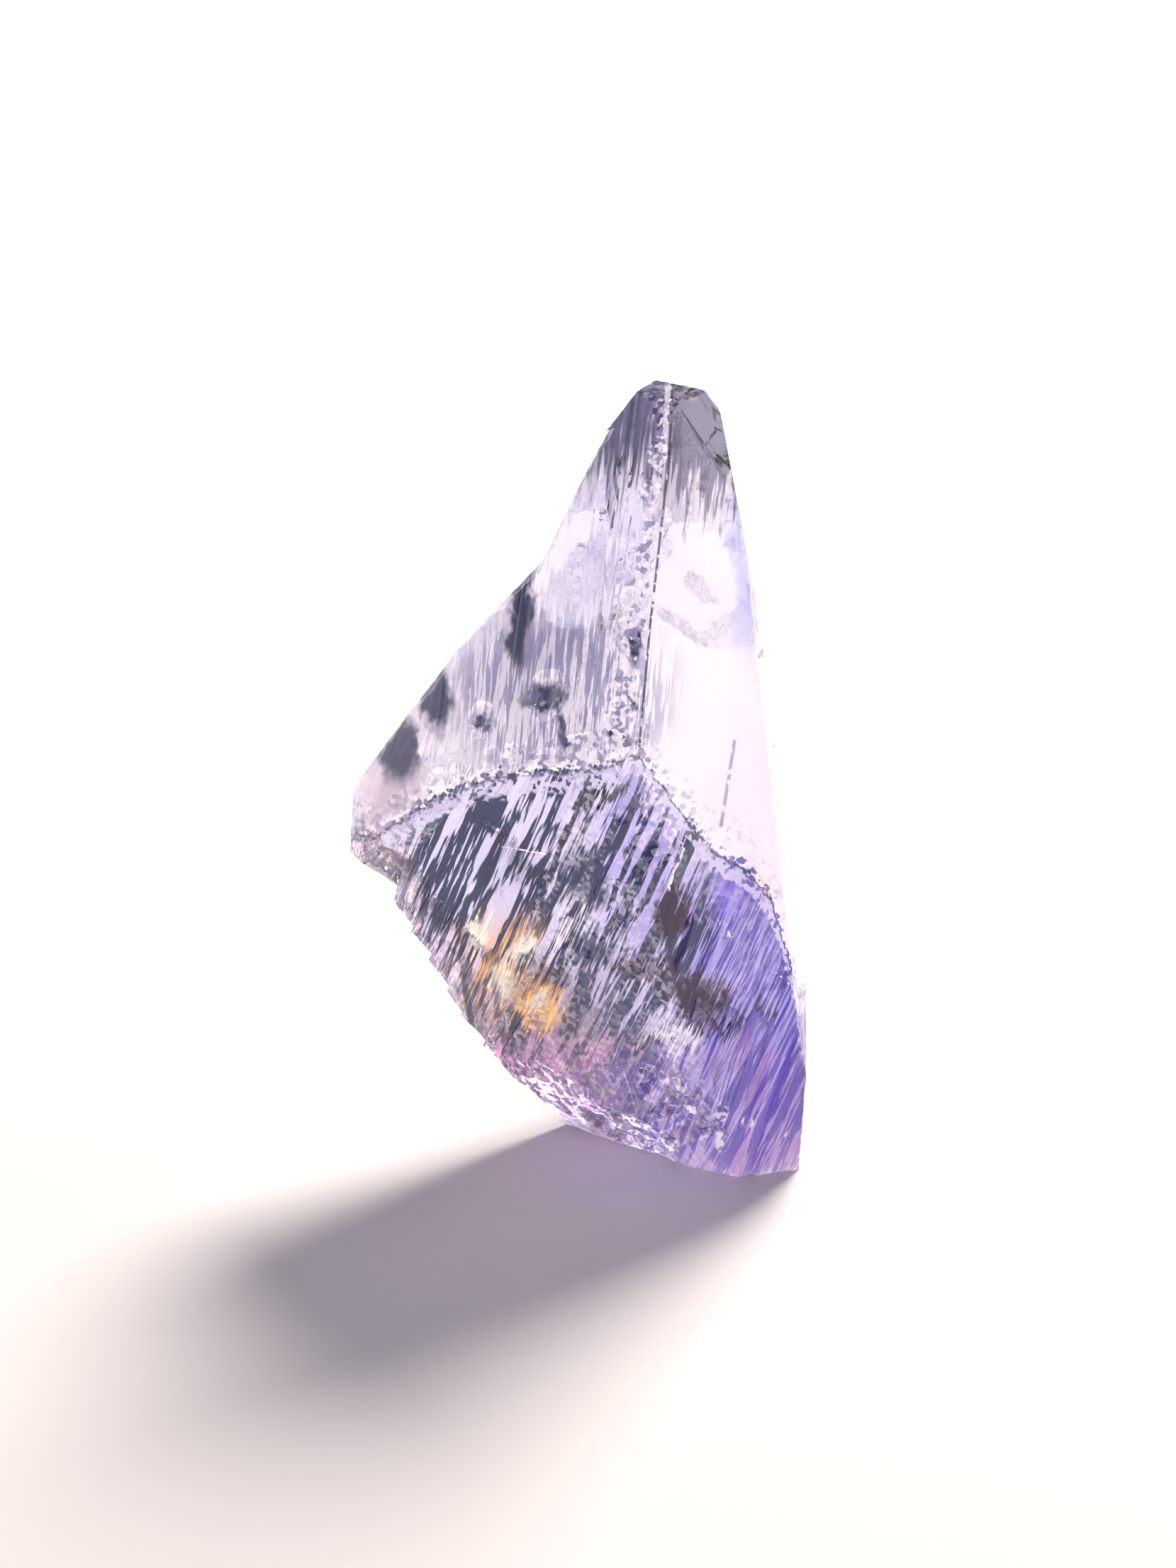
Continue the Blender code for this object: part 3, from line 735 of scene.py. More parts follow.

# Tint patches, among them painted shade, dark reflections, highlights and glints: middle, half sizes,
# softness of the rim, tint, strength, and how it lies in the stone
PATCHES = {
    "rose_low_face": ((4.7, 7.6), (1.3, 2.8), 0.6, "rose", 0.8, HIGH),
    # Painted highlight on the right rim, and a painted bluish sheen near the ridge
    "blue_rim_highlight": ((4.1, 14.2), (0.32, 1.9), 0.7, "edge blue", 0.9, HIGH),
    "blue_sheen_upper_left": ((0.6, 14.6), (1.5, 1.8), 0.7, "edge blue", 0.3, HIGH),
    # Painted shade of the tip, with toothed rims
    "shaded_tip_left": ((0.9, 18.2), (1.4, 2.1), 0.4, "tip_shade", 0.95, THROUGH),
    "shaded_tip_right": ((3.1, 18.2), (1.5, 2.5), 0.15, "tip_shade", 0.68, THROUGH),
    "bulge": ((-4.6, 7.9), (1.0, 1.6), 0.4, "bulge grey", 0.8, NEAR),
    "slate_wash": ((-0.9, 6.0), (3.6, 3.9), 0.2, "slate wash", 1.0, LOW),
    "umber_foot": ((-0.9, 2.6), (2.2, 1.6), 0.4, "umber", 0.6, LOW),
    "pink_left_foot": ((-1.0, 1.7), (1.8, 0.8), 0.4, "pink", 0.9, LOW),
    "violet_heart": ((4.5, 4.3), (2.2, 3.6), 0.25, "violet", 0.95, LOW),
    "mauve_foot": ((3.0, 0.4), (4.6, 1.9), 0.3, "mauve", 0.9, LOW),
    "periwinkle_patch": ((1.5, 7.0), (0.9, 2.3), 0.35, "periwinkle", 0.9, LOW),
    "bright_violet": ((3.2, 5.9), (0.8, 0.6), 0.4, "bright violet", 0.8, LOW),
    "pale_lines": ((3.2, 3.3), (2.6, 3.6), 0.3, "periwinkle", 0.75, PALE_LINED),
    # Painted dark reflections, laid along the growth streaks
    "dark_reflection_field": ((-1.2, 6.5), (3.4, 3.4), 0.2, "slate", 1.0, STREAKED),
    "dark_reflection_right": ((1.9, 5.6), (1.5, 3.2), 0.3, "slate", 0.95, STREAKED),
    "dark_reflection_low": ((-0.3, 3.2), (2.6, 1.7), 0.3, "slate", 0.8, STREAKED),
    "violet_foot_lines": ((3.6, 0.9), (2.8, 2.2), 0.3, "violet", 0.8, STREAKED),
    "maroon_middle": ((2.97, 3.56), (0.8, 0.5), 0.25, "maroon", 1.0, LOW),
    "maroon_high": ((2.26, 5.6), (0.42, 0.75), 0.2, "maroon", 1.0, LOW),
    "maroon_low": ((3.3, 2.85), (0.85, 0.16), 0.3, "maroon", 0.95, LOW),
    "maroon_small": ((4.5, 3.0), (0.4, 0.12), 0.3, "maroon", 0.9, LOW),
    "dark_flaw": ((0.25, 4.7), (0.6, 0.45), 0.3, "slate", 0.9, LOW),
    "dark_flaw_high": ((0.1, 6.4), (0.5, 0.8), 0.3, "slate", 0.95, LOW),
    "dark_flaw_right": ((1.5, 4.2), (0.75, 0.35), 0.3, "maroon", 0.95, LOW),
    "dark_flaw_low": ((1.65, 2.3), (0.35, 0.35), 0.3, "slate", 0.95, LOW),
    "white_flaw": ((2.2, 2.45), (0.75, 0.22), 0.3, "white", 0.85, LOW),
    "white_flaw_high": ((-0.2, 5.6), (0.3, 0.7), 0.3, "white", 0.8, PALE_LINED),
    # Painted glints: light refracted through the stone low on the left, tinted by its own amber
    "amber_glint_fringe": ((-1.9, 4.3), (1.0, 1.3), 0.5, "amber", 0.75, PALE_LINED),
    "amber_glint": ((-1.05, 3.1), (0.55, 0.65), 0.3, "amber", 0.95, LOW),
    "amber_glint_core": ((-1.1, 3.25), (0.2, 0.3), 0.3, "glint gold", 0.9, LOW),
    "gold_glint_high": ((-2.49, 4.98), (0.3, 0.35), 0.4, "glint gold", 1.0, LOW),
    "gold_glint_middle": ((-1.37, 4.5), (0.3, 0.3), 0.4, "glint gold", 1.0, LOW),
    "gold_glint_low": ((-2.0, 3.74), (0.4, 0.4), 0.4, "glint gold", 1.0, LOW),
    # Painted dark reflections, lens-shaped, on the upper left
    "reflection_lens_high": ((-1.35, 13.7), (0.3, 0.8), 0.3, "slate", 1.0, HIGH),
    "reflection_lens_middle": ((-1.45, 12.5), (0.33, 0.95), 0.4, "slate", 0.97, HIGH),
    "reflection_lens_low": ((-3.6, 10.97), (0.4, 0.8), 0.4, "slate", 0.93, HIGH),
    "reflection_lens_bulge": ((-4.6, 9.6), (0.6, 0.75), 0.4, "slate", 0.9, HIGH),
    "glint_bulge": ((-3.97, 9.87), (0.15, 0.3), 0.3, "white", 1.0, HIGH),
    # Painted shade in the pits and beside them
    "pit_shade_left": ((-0.84, 10.85), (0.5, 0.35), 0.35, "slate", 0.9, HIGH),
    "pit_shade_small": ((-2.43, 10.3), (0.22, 0.2), 0.4, "slate", 0.9, HIGH),
    "pit_shade_streak": ((-0.35, 10.2), (0.12, 0.4), 0.4, "slate", 0.9, HIGH),
    "pit_shade_ridge": ((1.41, 12.2), (0.17, 0.45), 0.3, "slate", 1.0, HIGH),
    "pit_shade_ridge_low": ((1.38, 10.75), (0.1, 0.3), 0.4, "slate", 0.95, HIGH),
    "junction_dark": ((1.05, 9.85), (0.35, 0.14), 0.4, "maroon", 0.95, HIGH),
    # Painted shade: black in the junction hollow
    "hollow_shade": ((0.6, 8.53), (0.36, 0.2), 0.3, "black", 1.0, LOW),
    "rim_speck_high": ((4.6, 11.99), (0.06, 0.1), 0.5, "slate", 0.9, HIGH),
    "rim_speck_low": ((4.85, 9.81), (0.08, 0.06), 0.5, "maroon", 0.9, HIGH),
}

# The break across the front, as right and up, and the bands that follow it: how far above it, half width,
# tint and strength
BREAK_LINE = ((-5.2, 7.6), (-4.5, 8.0), (-3.46, 8.61), (-2.26, 9.09), (0.49, 9.32), (1.2, 9.62), (1.5, 9.6),
              (2.23, 8.6), (2.53, 8.1), (3.15, 7.42), (3.7, 7.0), (4.23, 6.7), (4.76, 5.99), (4.99, 5.33),
              (5.5, 3.6))
BREAK_BANDS = {
    "bright_rim": (0.0, 0.07, "white", 0.9),
    # Painted shadow below the bright rim of the break
    "rim_shadow": (-0.16, 0.05, "slate", 0.75),
    "flaked_rim": (-0.42, 0.2, "slate wash", 0.85),
}

# Thin lines: followed upward or sideways, wandering or straight, their points with the followed axis first,
# width, tint and strength
LINES = {
    "ridge_light": (True, True, ((9.7, 1.0), (11.4, 1.16), (12.4, 1.07), (13.85, 1.43), (15.4, 1.87),
                                 (16.6, 2.03), (18.8, 2.15)), 0.14, "white", 0.9),
    "ridge_shadow": (True, False, ((9.7, 1.45), (12.5, 1.7), (14.7, 1.95), (16.6, 2.17), (18.3, 2.25)),
                     0.06, "slate", 0.85),
    "fracture_branch": (True, True, ((6.2, 2.2), (7.2, 2.5), (9.0, 1.6)), 0.06, "white", 0.9),
    "face_streak": (True, False, ((7.78, 3.47), (9.8, 3.8)), 0.09, "shoulder grey", 0.8),
    "crack": (False, False, ((-1.87, 7.21), (-0.75, 7.03)), 0.04, "white", 0.95),
    "diagonal_break": (True, True, ((6.4, -0.7), (8.9, 0.25)), 0.08, "maroon", 0.85),
    # Amber line along the right rim
    "rim_amber_line": (True, True, ((6.0, 4.7), (6.72, 4.33)), 0.035, "amber", 0.9),
}
LINE_END = 0.1
BAND_RIM = (0.7, 1.3)

# Upright growth lines of the left shoulder: middle, half sizes and softness of where they are, their
# strength, and the rim of their relief
SHOULDER = ((-0.5, 10.9), (2.6, 2.0), 0.35)
SHOULDER_STRENGTH = 0.9
SHOULDER_RIM = (0.6, 1.2)

# How far rims and lines wander with the noise, and its stretch, detail and roughness
RAGGED = 1.2
LINE_WANDER = 0.3
WANDER_STRETCH = (1.1, 0.8, 0.5)
WANDER_LAYERS = (3.0, 0.75)
STREAKY = (0.9, 2.1, 0.0)
TOOTH = (0.0, 5.0, 0.0)

# Growth streaks: lean from level, width, length, level of the cut and its softness
BROAD_STREAKS = (66.0, 0.3, 3.2, 0.48, 0.015)
NARROW_STREAKS = (66.0, 0.07, 1.6, 0.5, 0.05)
UPRIGHT_STREAKS = (84.0, 0.1, 1.4, 0.5, 0.03)
STREAK_LAYERS = (2.0, 0.65)
PALE_LINES = (0.62, 0.58)
LOW_LINES = (9.3, 9.0)

# Limits back to front within which the patches fade in, along a direction that leans a little up
BACKWARD = (0.0, 1.0, 0.08)
FRONT_REACH = (3.2, 2.2)
HIGH_REACH = (1.0, 0.3)
BREAK_SOFTNESS = 0.06

# Flakes: size, jump of the break from one to the next, and the chances that turn one dark or pale
FLAKE_SIZE = 0.125
FLAKE_JUMP = 0.2
DARK_FLAKES = (0.3, 0.24)
PALE_FLAKES = (0.6, 0.75)

# Finish, refraction and absorption
CLEAR_ROUGHNESS = 0.02
STREAK_ROUGHNESS = 0.06
LINE_BUMP = 0.25
LINE_DEPTH = 0.05
REFRACTION = 1.69
ABSORBED = (0.8, 0.76, 0.95, 1.0)
BOUNCES = 6


# Shader nodes

def add(tree, kind, **settings):
    """New node with its settings."""
    node = tree.nodes.new(kind)
    for key, value in settings.items():
        setattr(node, key, value)
    return node


def feed(tree, socket, value):
    """Set a socket to a number or colour, or join another socket to it."""
    if isinstance(value, bpy.types.NodeSocket):
        tree.links.new(value, socket)
    else:
        socket.default_value = value


def maths(tree, operation, first, second=0.0, third=0.0):
    """One step of arithmetic on numbers or sockets."""
    node = add(tree, 'ShaderNodeMath', operation=operation)
    for socket, value in zip(node.inputs, (first, second, third)):
        feed(tree, socket, value)
    return node.outputs[0]


def both(tree, first, second):
    """Product of two masks or values."""
    return maths(tree, 'MULTIPLY', first, second)


def vectors(tree, operation, *values):
    """Vector maths; a single number stands for all three parts."""
    node = add(tree, 'ShaderNodeVectorMath', operation=operation)
    for socket, value in zip(node.inputs, values):
        feed(tree, socket, (value,) * 3 if isinstance(value, float) else value)
    return node.outputs["Value" if operation in {'LENGTH', 'DOT_PRODUCT'} else "Vector"]


def dot(tree, vector, direction):
    """How far a vector reaches along a direction."""
    return vectors(tree, 'DOT_PRODUCT', vector, tuple(direction))


def ramp(tree, value, low, high, out_low=0.0, out_high=1.0):
    """Smooth step of a value between two limits."""
    node = add(tree, 'ShaderNodeMapRange', interpolation_type='SMOOTHSTEP')
    for socket, given in zip(node.inputs, (value, low, high, out_low, out_high)):
        feed(tree, socket, given)
    return node.outputs["Result"]


def blend_colour(tree, factor, first, second):
    """The first colour at factor 0, the second at 1."""
    node = add(tree, 'ShaderNodeMixRGB')
    for socket, given in zip(node.inputs, (factor, first, second)):
        feed(tree, socket, given)
    return node.outputs[0]


def noise(tree, place, detail, roughness):
    """Noise of unit size with its number of layers and their roughness."""
    node = add(tree, 'ShaderNodeTexNoise')
    tree.links.new(place, node.inputs["Vector"])
    for label, value in (("Scale", 1.0), ("Detail", detail), ("Roughness", roughness)):
        node.inputs[label].default_value = value
    return node.outputs


def shared_group(name, inputs, outputs):
    """New shader node group; sockets named in capitals are vectors, the others are numbers."""
    tree = bpy.data.node_groups.new(name, 'ShaderNodeTree')
    for labels, side in ((inputs, 'INPUT'), (outputs, 'OUTPUT')):
        for label in labels:
            kind = 'NodeSocketVector' if label.isupper() else 'NodeSocketFloat'
            tree.interface.new_socket(label, in_out=side, socket_type=kind)
    return tree, add(tree, 'NodeGroupInput').outputs, add(tree, 'NodeGroupOutput').inputs


def use_group(tree, group, *values):
    """Place a shared group, with its inputs in order."""
    node = add(tree, 'ShaderNodeGroup', node_tree=group)
    for socket, value in zip(node.inputs, values):
        feed(tree, socket, value)
    return node.outputs


def front_place_group(scale):
    """Object coordinates as right, up and depth in millimetres, also wandering, and how near the front."""
    tree, given, made = shared_group("front place", ["PLACE"], [
        "FRONT", "RAGGED", "WANDERING", "Near Front", "High Front"])
    place = vectors(tree, 'MULTIPLY', given["PLACE"], 1.0 / (MM * scale))
    front = add(tree, 'ShaderNodeCombineXYZ')
    for socket, direction in zip(front.inputs, ((1.0, 0.0, 0.0), VIEW_UP, VIEW_DEPTH)):
        tree.links.new(dot(tree, place, direction), socket)
    front = front.outputs[0]
    tree.links.new(front, made["FRONT"])
    shift = noise(tree, vectors(tree, 'MULTIPLY', front, WANDER_STRETCH), *WANDER_LAYERS)["Color"]
    shift = vectors(tree, 'SUBTRACT', shift, 0.5)
    for label, reach in (("RAGGED", RAGGED), ("WANDERING", LINE_WANDER)):
        tree.links.new(vectors(tree, 'MULTIPLY_ADD', shift, reach, front), made[label])
    backward = dot(tree, place, BACKWARD)
    tree.links.new(ramp(tree, backward, *FRONT_REACH), made["Near Front"])
    tree.links.new(ramp(tree, backward, *HIGH_REACH), made["High Front"])
    return tree


def patch_group():
    """Mask of an oval patch of the front view: its strength within the rim, easing to 0 outside."""
    tree, given, made = shared_group("tint patch", [
        "PLACE", "MIDDLE", "HALF SIZE", "Inner", "Outer", "Strength"], ["Mask"])
    away = vectors(tree, 'SUBTRACT', given["PLACE"], given["MIDDLE"])
    away = vectors(tree, 'MULTIPLY', vectors(tree, 'DIVIDE', away, given["HALF SIZE"]), (1.0, 1.0, 0.0))
    reach = vectors(tree, 'LENGTH', away)
    tree.links.new(ramp(tree, reach, given["Inner"], given["Outer"], given["Strength"], 0.0), made["Mask"])
    return tree


def patch_mask(tree, patch, place, middle, half, inner, outer, strength=1.0):
    """Mask of one patch; its rim runs from inner to outer, as shares of its half sizes."""
    return use_group(tree, patch, place, (*middle, 0.0), (*half, 1.0), inner, outer, strength)["Mask"]


def streak_group():
    """Growth streaks: noise drawn out along a lean, cut at a level into sharp light and dark lines."""
    tree, given, made = shared_group("growth streaks", [
        "FRONT", "ACROSS", "ALONG", "INWARD", "Low", "High"], ["Mask", "Height"])
    drawn = add(tree, 'ShaderNodeCombineXYZ')
    for socket, label in zip(drawn.inputs, ("ACROSS", "ALONG", "INWARD")):
        tree.links.new(vectors(tree, 'DOT_PRODUCT', given["FRONT"], given[label]), socket)
    lines = noise(tree, drawn.outputs[0], *STREAK_LAYERS)[0]
    tree.links.new(ramp(tree, lines, given["Low"], given["High"]), made["Mask"])
    tree.links.new(lines, made["Height"])
    return tree


def streaks(tree, group, front, lean, width, length, level, softness):
    """Growth streaks of one lean, width and length."""
    sine, cosine = sin(radians(lean)), cos(radians(lean))
    across = (sine / width, -cosine / width, 0.0)
    along = (cosine / length, sine / length, 0.0)
    inward = (0.0, 0.0, 1.0 / length)
    return use_group(tree, group, front, across, along, inward, level - softness, level + softness)


def bent_line(tree, along, points):
    """Level of a line of straight stretches at a place along it."""
    level = points[0][1]
    for (start, low), (end, high) in zip(points[:-1], points[1:]):
        node = add(tree, 'ShaderNodeMapRange')
        for socket, given in zip(node.inputs, (along, start, end, 0.0, high - low)):
            feed(tree, socket, given)
        level = maths(tree, 'ADD', level, node.outputs["Result"])
    return level


def band(tree, value, level, half_width, strength):
    """Mask of a narrow band of a value around a level."""
    off = maths(tree, 'ABSOLUTE', maths(tree, 'SUBTRACT', value, level))
    return ramp(tree, off, half_width * BAND_RIM[0], half_width * BAND_RIM[1], strength, 0.0)


def line_mask(tree, seen_at, upward, points, width, strength):
    """Mask of a thin line through points, read along up or along right, and cut at both ends."""
    across, along = (seen_at[0], seen_at[1]) if upward else (seen_at[1], seen_at[0])
    mask = band(tree, across, bent_line(tree, along, points), width / 2, strength)
    for end, outward in ((points[0][0], -LINE_END), (points[-1][0], LINE_END)):
        mask = both(tree, mask, ramp(tree, along, end, end + outward, 1.0, 0.0))
    return mask


def flake_group():
    """Flakes of a broken surface: cells, each with a chance value."""
    tree, given, made = shared_group("broken flakes", ["FRONT", "Size"], ["Chance"])
    cells = add(tree, 'ShaderNodeTexVoronoi')
    tree.links.new(vectors(tree, 'DIVIDE', given["FRONT"], given["Size"]), cells.inputs["Vector"])
    cells.inputs["Scale"].default_value = 1.0
    chance = add(tree, 'ShaderNodeSeparateColor')
    tree.links.new(cells.outputs["Color"], chance.inputs[0])
    tree.links.new(chance.outputs[0], made["Chance"])
    return tree


def stone_tints(tree, place, frost, tints):
    """Tint of the stone at a place, painted shade, reflections, highlights and glints included, and the
    heights of its leaning and its upright growth lines.
    """
    def tinted(mask, below, label):
        return blend_colour(tree, mask, below, (*tints[label], 1.0))

    front, ragged, near_front = place["FRONT"], place["RAGGED"], place["Near Front"]
    straight, wandering = (add(tree, 'ShaderNodeSeparateXYZ') for _ in range(2))
    tree.links.new(front, straight.inputs[0])
    tree.links.new(place["WANDERING"], wandering.inputs[0])
    right, up = wandering.outputs[0], wandering.outputs[1]
    streak, patch = streak_group(), patch_group()
    broad, narrow, upright = (streaks(tree, streak, front, *kind)
                              for kind in (BROAD_STREAKS, NARROW_STREAKS, UPRIGHT_STREAKS))
    flakes = use_group(tree, flake_group(), front, FLAKE_SIZE)

    jump = maths(tree, 'MULTIPLY_ADD', flakes["Chance"], FLAKE_JUMP, -FLAKE_JUMP / 2)
    over_break = maths(tree, 'SUBTRACT', maths(tree, 'ADD', up, jump), bent_line(tree, right, BREAK_LINE))
    high = both(tree, place["High Front"], ramp(tree, over_break, 0.0, BREAK_SOFTNESS))
    low = both(tree, near_front, ramp(tree, over_break, 0.0, BREAK_SOFTNESS, 1.0, 0.0))
    dark_lines = both(tree, broad["Mask"], ramp(tree, narrow["Height"], *PALE_LINES))
    lying = {THROUGH: None, NEAR: near_front, HIGH: high, LOW: low, STREAKED: both(tree, low, dark_lines),
             PALE_LINED: both(tree, low, narrow["Mask"])}
    streaky = vectors(tree, 'MULTIPLY_ADD', maths(tree, 'SUBTRACT', narrow["Height"], 0.5), STREAKY, ragged)
    toothed = vectors(tree, 'MULTIPLY_ADD', maths(tree, 'SUBTRACT', upright["Height"], 0.5), TOOTH, front)
    rims = {THROUGH: toothed, NEAR: ragged, HIGH: ragged,
            LOW: streaky, STREAKED: streaky, PALE_LINED: streaky}

    middle, half, softness = SHOULDER
    shoulder = patch_mask(tree, patch, ragged, middle, half, 1.0 - softness, 1.0 + softness)
    upright_lines = both(tree, both(tree, shoulder, high), upright["Mask"])
    tint = tinted(both(tree, upright_lines, SHOULDER_STRENGTH), (*tints["clear"], 1.0), "shoulder grey")
    for middle, half, softness, label, strength, lies in PATCHES.values():
        mask = patch_mask(tree, patch, rims[lies], middle, half, 1.0 - softness, 1.0 + softness, strength)
        tint = tinted(mask if lying[lies] is None else both(tree, mask, lying[lies]), tint, label)

    dark = ramp(tree, flakes["Chance"], *DARK_FLAKES)
    tint = tinted(both(tree, frost, dark), tint, "shoulder grey")
    tint = tinted(both(tree, frost, ramp(tree, flakes["Chance"], *PALE_FLAKES)), tint, "white")
    flaked = both(tree, near_front, maths(tree, 'SUBTRACT', 1.0, dark))
    # Bands along the break; the dark one below its rim is a painted shadow
    for rise, half_width, label, strength in BREAK_BANDS.values():
        mask = band(tree, over_break, rise, half_width, strength)
        tint = tinted(both(tree, mask, flaked), tint, label)
    for upward, wanders, points, width, label, strength in LINES.values():
        seen_at = wandering.outputs if wanders else straight.outputs
        mask = line_mask(tree, seen_at, upward, points, width, strength)
        tint = tinted(both(tree, mask, flaked), tint, label)

    middle, half, softness = SHOULDER
    lined = patch_mask(tree, patch, front, middle, half, *SHOULDER_RIM)
    low_lines = both(tree, narrow["Height"], ramp(tree, straight.outputs[1], *LOW_LINES))
    return tint, low_lines, both(tree, upright["Height"], lined)


def stone_material(tints, density, frosting, scale):
    """Clear glass of the stone, with its tints (painted shade, reflections and glints among them), growth
    lines and frosted breaks.
    """
    material = bpy.data.materials.new("tanzanite_clear")
    material.use_nodes = True
    tree = material.node_tree
    shader = tree.nodes["Principled BSDF"]
    shader.inputs["IOR"].default_value = REFRACTION
    shader.inputs["Transmission Weight"].default_value = 1.0
    absorption = add(tree, 'ShaderNodeVolumeAbsorption')
    absorption.inputs["Color"].default_value = ABSORBED
    absorption.inputs["Density"].default_value = density
    tree.links.new(absorption.outputs[0], tree.nodes["Material Output"].inputs["Volume"])

    place = use_group(tree, front_place_group(scale), add(tree, 'ShaderNodeTexCoord').outputs["Object"])
    frost = add(tree, 'ShaderNodeAttribute', attribute_name="frost").outputs["Fac"]
    tint, low_lines, high_lines = stone_tints(tree, place, frost, tints)
    leaving = add(tree, 'ShaderNodeNewGeometry').outputs["Backfacing"]
    tint = blend_colour(tree, leaving, tint, (*tints["clear"], 1.0))
    tree.links.new(vectors(tree, 'MULTIPLY', tint, tint), shader.inputs["Base Color"])

    grain = both(tree, low_lines, STREAK_ROUGHNESS)
    tree.links.new(maths(tree, 'ADD', ramp(tree, frost, 0.0, 1.0, CLEAR_ROUGHNESS, frosting), grain),
                   shader.inputs["Roughness"])
    bump = add(tree, 'ShaderNodeBump')
    bump.inputs["Strength"].default_value = LINE_BUMP
    bump.inputs["Distance"].default_value = LINE_DEPTH * MM * scale
    tree.links.new(maths(tree, 'ADD', low_lines, high_lines), bump.inputs["Height"])
    tree.links.new(bump.outputs[0], shader.inputs["Normal"])
    return material


# Studio

# Camera: the photo's height and scale in pixels give the lens; the point it faces is in millimetres
PHOTO_HEIGHT = 2212.0
PHOTO_PIXELS_PER_MM = 56.46
SENSOR = 36.0
LENS_CLIP = 0.001
AIM = at(0.2, -1.35, 9.75)

# Floor: how far it reaches, and the share and strength of its glow
FLOOR_REACH = 2000.0
FLOOR_ROUGHNESS = 0.8
FLOOR_GLOW = 0.85
GLOW_STRENGTH = 1.2

# Surroundings as the stone sees them: low, high and ahead, where they change, and the fill on the floor
SKY_LOW = (1.0, 0.96, 0.94, 1.0)
SKY_HIGH = (0.12, 0.13, 0.2, 1.0)
SKY_AHEAD = (0.3, 0.29, 0.32, 1.0)
SKY_FILL = (0.17, 0.175, 0.23, 1.0)
SKY_RISE = (0.25, 0.7)
AHEAD = (0.0, -0.95, 0.3)
AHEAD_REACH = (0.0, 0.8)

# Lamps: bearing, rise, distance and width in millimetres, share of the key's power, and colour
LAMPS = {
    "key": (156.0, 42.0, 300.0, 120.0, 1.0, (1.0, 0.94, 0.88)),
    "warm_glint": (106.0, 44.0, 300.0, 90.0, 0.03, (1.0, 0.78, 0.55)),
    "sparkle_left": (-35.0, 50.0, 300.0, 10.0, 0.05, (0.95, 0.95, 1.0)),
    "sparkle_right": (40.0, 35.0, 300.0, 10.0, 0.04, (1.0, 0.9, 0.95)),
}


def aim(made, place, target):
    """Put a lamp or camera at a place in millimetres, facing a target."""
    made.location = Vector((place + BOX_CENTRE) * MM)
    made.rotation_euler = Vector(target - place).to_track_quat('-Z', 'Y').to_euler()
    bpy.context.scene.collection.objects.link(made)


def soft_lamp(name, bearing, rise, distance, width, power, colour):
    """Round area lamp facing the stone."""
    data = bpy.data.lights.new(name, 'AREA')
    data.shape = 'DISK'
    data.size = width * MM
    data.energy = power
    data.color = colour
    direction = leaning(bearing, rise, HEART)[0]
    aim(bpy.data.objects.new(name, data), HEART + direction * distance, HEART)


def photo_camera(distance, rise):
    """Camera at the photo's viewing angle, with the lens that gives the stone its size in the photo."""
    data = bpy.data.cameras.new("camera")
    data.sensor_width = SENSOR
    data.lens = PHOTO_PIXELS_PER_MM * distance / MM * SENSOR / PHOTO_HEIGHT
    data.clip_start = LENS_CLIP
    camera = bpy.data.objects.new("camera", data)
    aim(camera, AIM + leaning(0.0, degrees(rise), AIM)[0] * distance / MM, AIM)
    bpy.context.scene.camera = camera


def pale_floor(colour):
    """Plain matt floor, which the stone sees glow, so that its own shadow doesn't darken it."""
    reach = FLOOR_REACH * MM
    mesh = bpy.data.meshes.new("floor")
    mesh.from_pydata([(-reach, -reach, 0), (reach, -reach, 0), (reach, reach, 0), (-reach, reach, 0)], [],
                     [(0, 1, 2, 3)])
    floor = bpy.data.objects.new("floor", mesh)
    bpy.context.scene.collection.objects.link(floor)
    material = bpy.data.materials.new("floor")
    material.use_nodes = True
    tree = material.node_tree
    shader = tree.nodes["Principled BSDF"]
    shader.inputs["Base Color"].default_value = colour
    shader.inputs["Roughness"].default_value = FLOOR_ROUGHNESS
    glow = add(tree, 'ShaderNodeEmission')
    glow.inputs["Color"].default_value = colour
    glow.inputs["Strength"].default_value = GLOW_STRENGTH
    mixed = add(tree, 'ShaderNodeMixShader')
    seen = add(tree, 'ShaderNodeLightPath').outputs["Is Camera Ray"]
    tree.links.new(both(tree, maths(tree, 'SUBTRACT', 1.0, seen), FLOOR_GLOW), mixed.inputs[0])
    tree.links.new(shader.outputs[0], mixed.inputs[1])
    tree.links.new(glow.outputs[0], mixed.inputs[2])
    tree.links.new(mixed.outputs[0], tree.nodes["Material Output"].inputs["Surface"])
    mesh.materials.append(material)


def studio_world(backdrop):
    """Surroundings: a pale backdrop to the camera, a bluish fill to the floor, and to the stone a sky."""
    world = bpy.data.worlds.new("studio")
    world.use_nodes = True
    tree = world.node_tree
    towards = add(tree, 'ShaderNodeTexCoord').outputs["Generated"]
    rise = ramp(tree, dot(tree, towards, (0.0, 0.0, 1.0)), *SKY_RISE)
    colour = blend_colour(tree, rise, SKY_LOW, SKY_HIGH)
    ahead = ramp(tree, dot(tree, towards, AHEAD), *AHEAD_REACH)
    colour = blend_colour(tree, ahead, colour, SKY_AHEAD)
    path = add(tree, 'ShaderNodeLightPath').outputs
    colour = blend_colour(tree, path["Is Diffuse Ray"], colour, SKY_FILL)
    colour = blend_colour(tree, path["Is Camera Ray"], colour, (*backdrop, 1.0))
    tree.links.new(colour, tree.nodes["Background"].inputs["Color"])
    bpy.context.scene.world = world


# Settings, operators and panel

def colour_setting(name, description, default):
    return FloatVectorProperty(name=name, description=description, default=default, subtype='COLOR',
                               min=0.0, max=1.0, size=3)


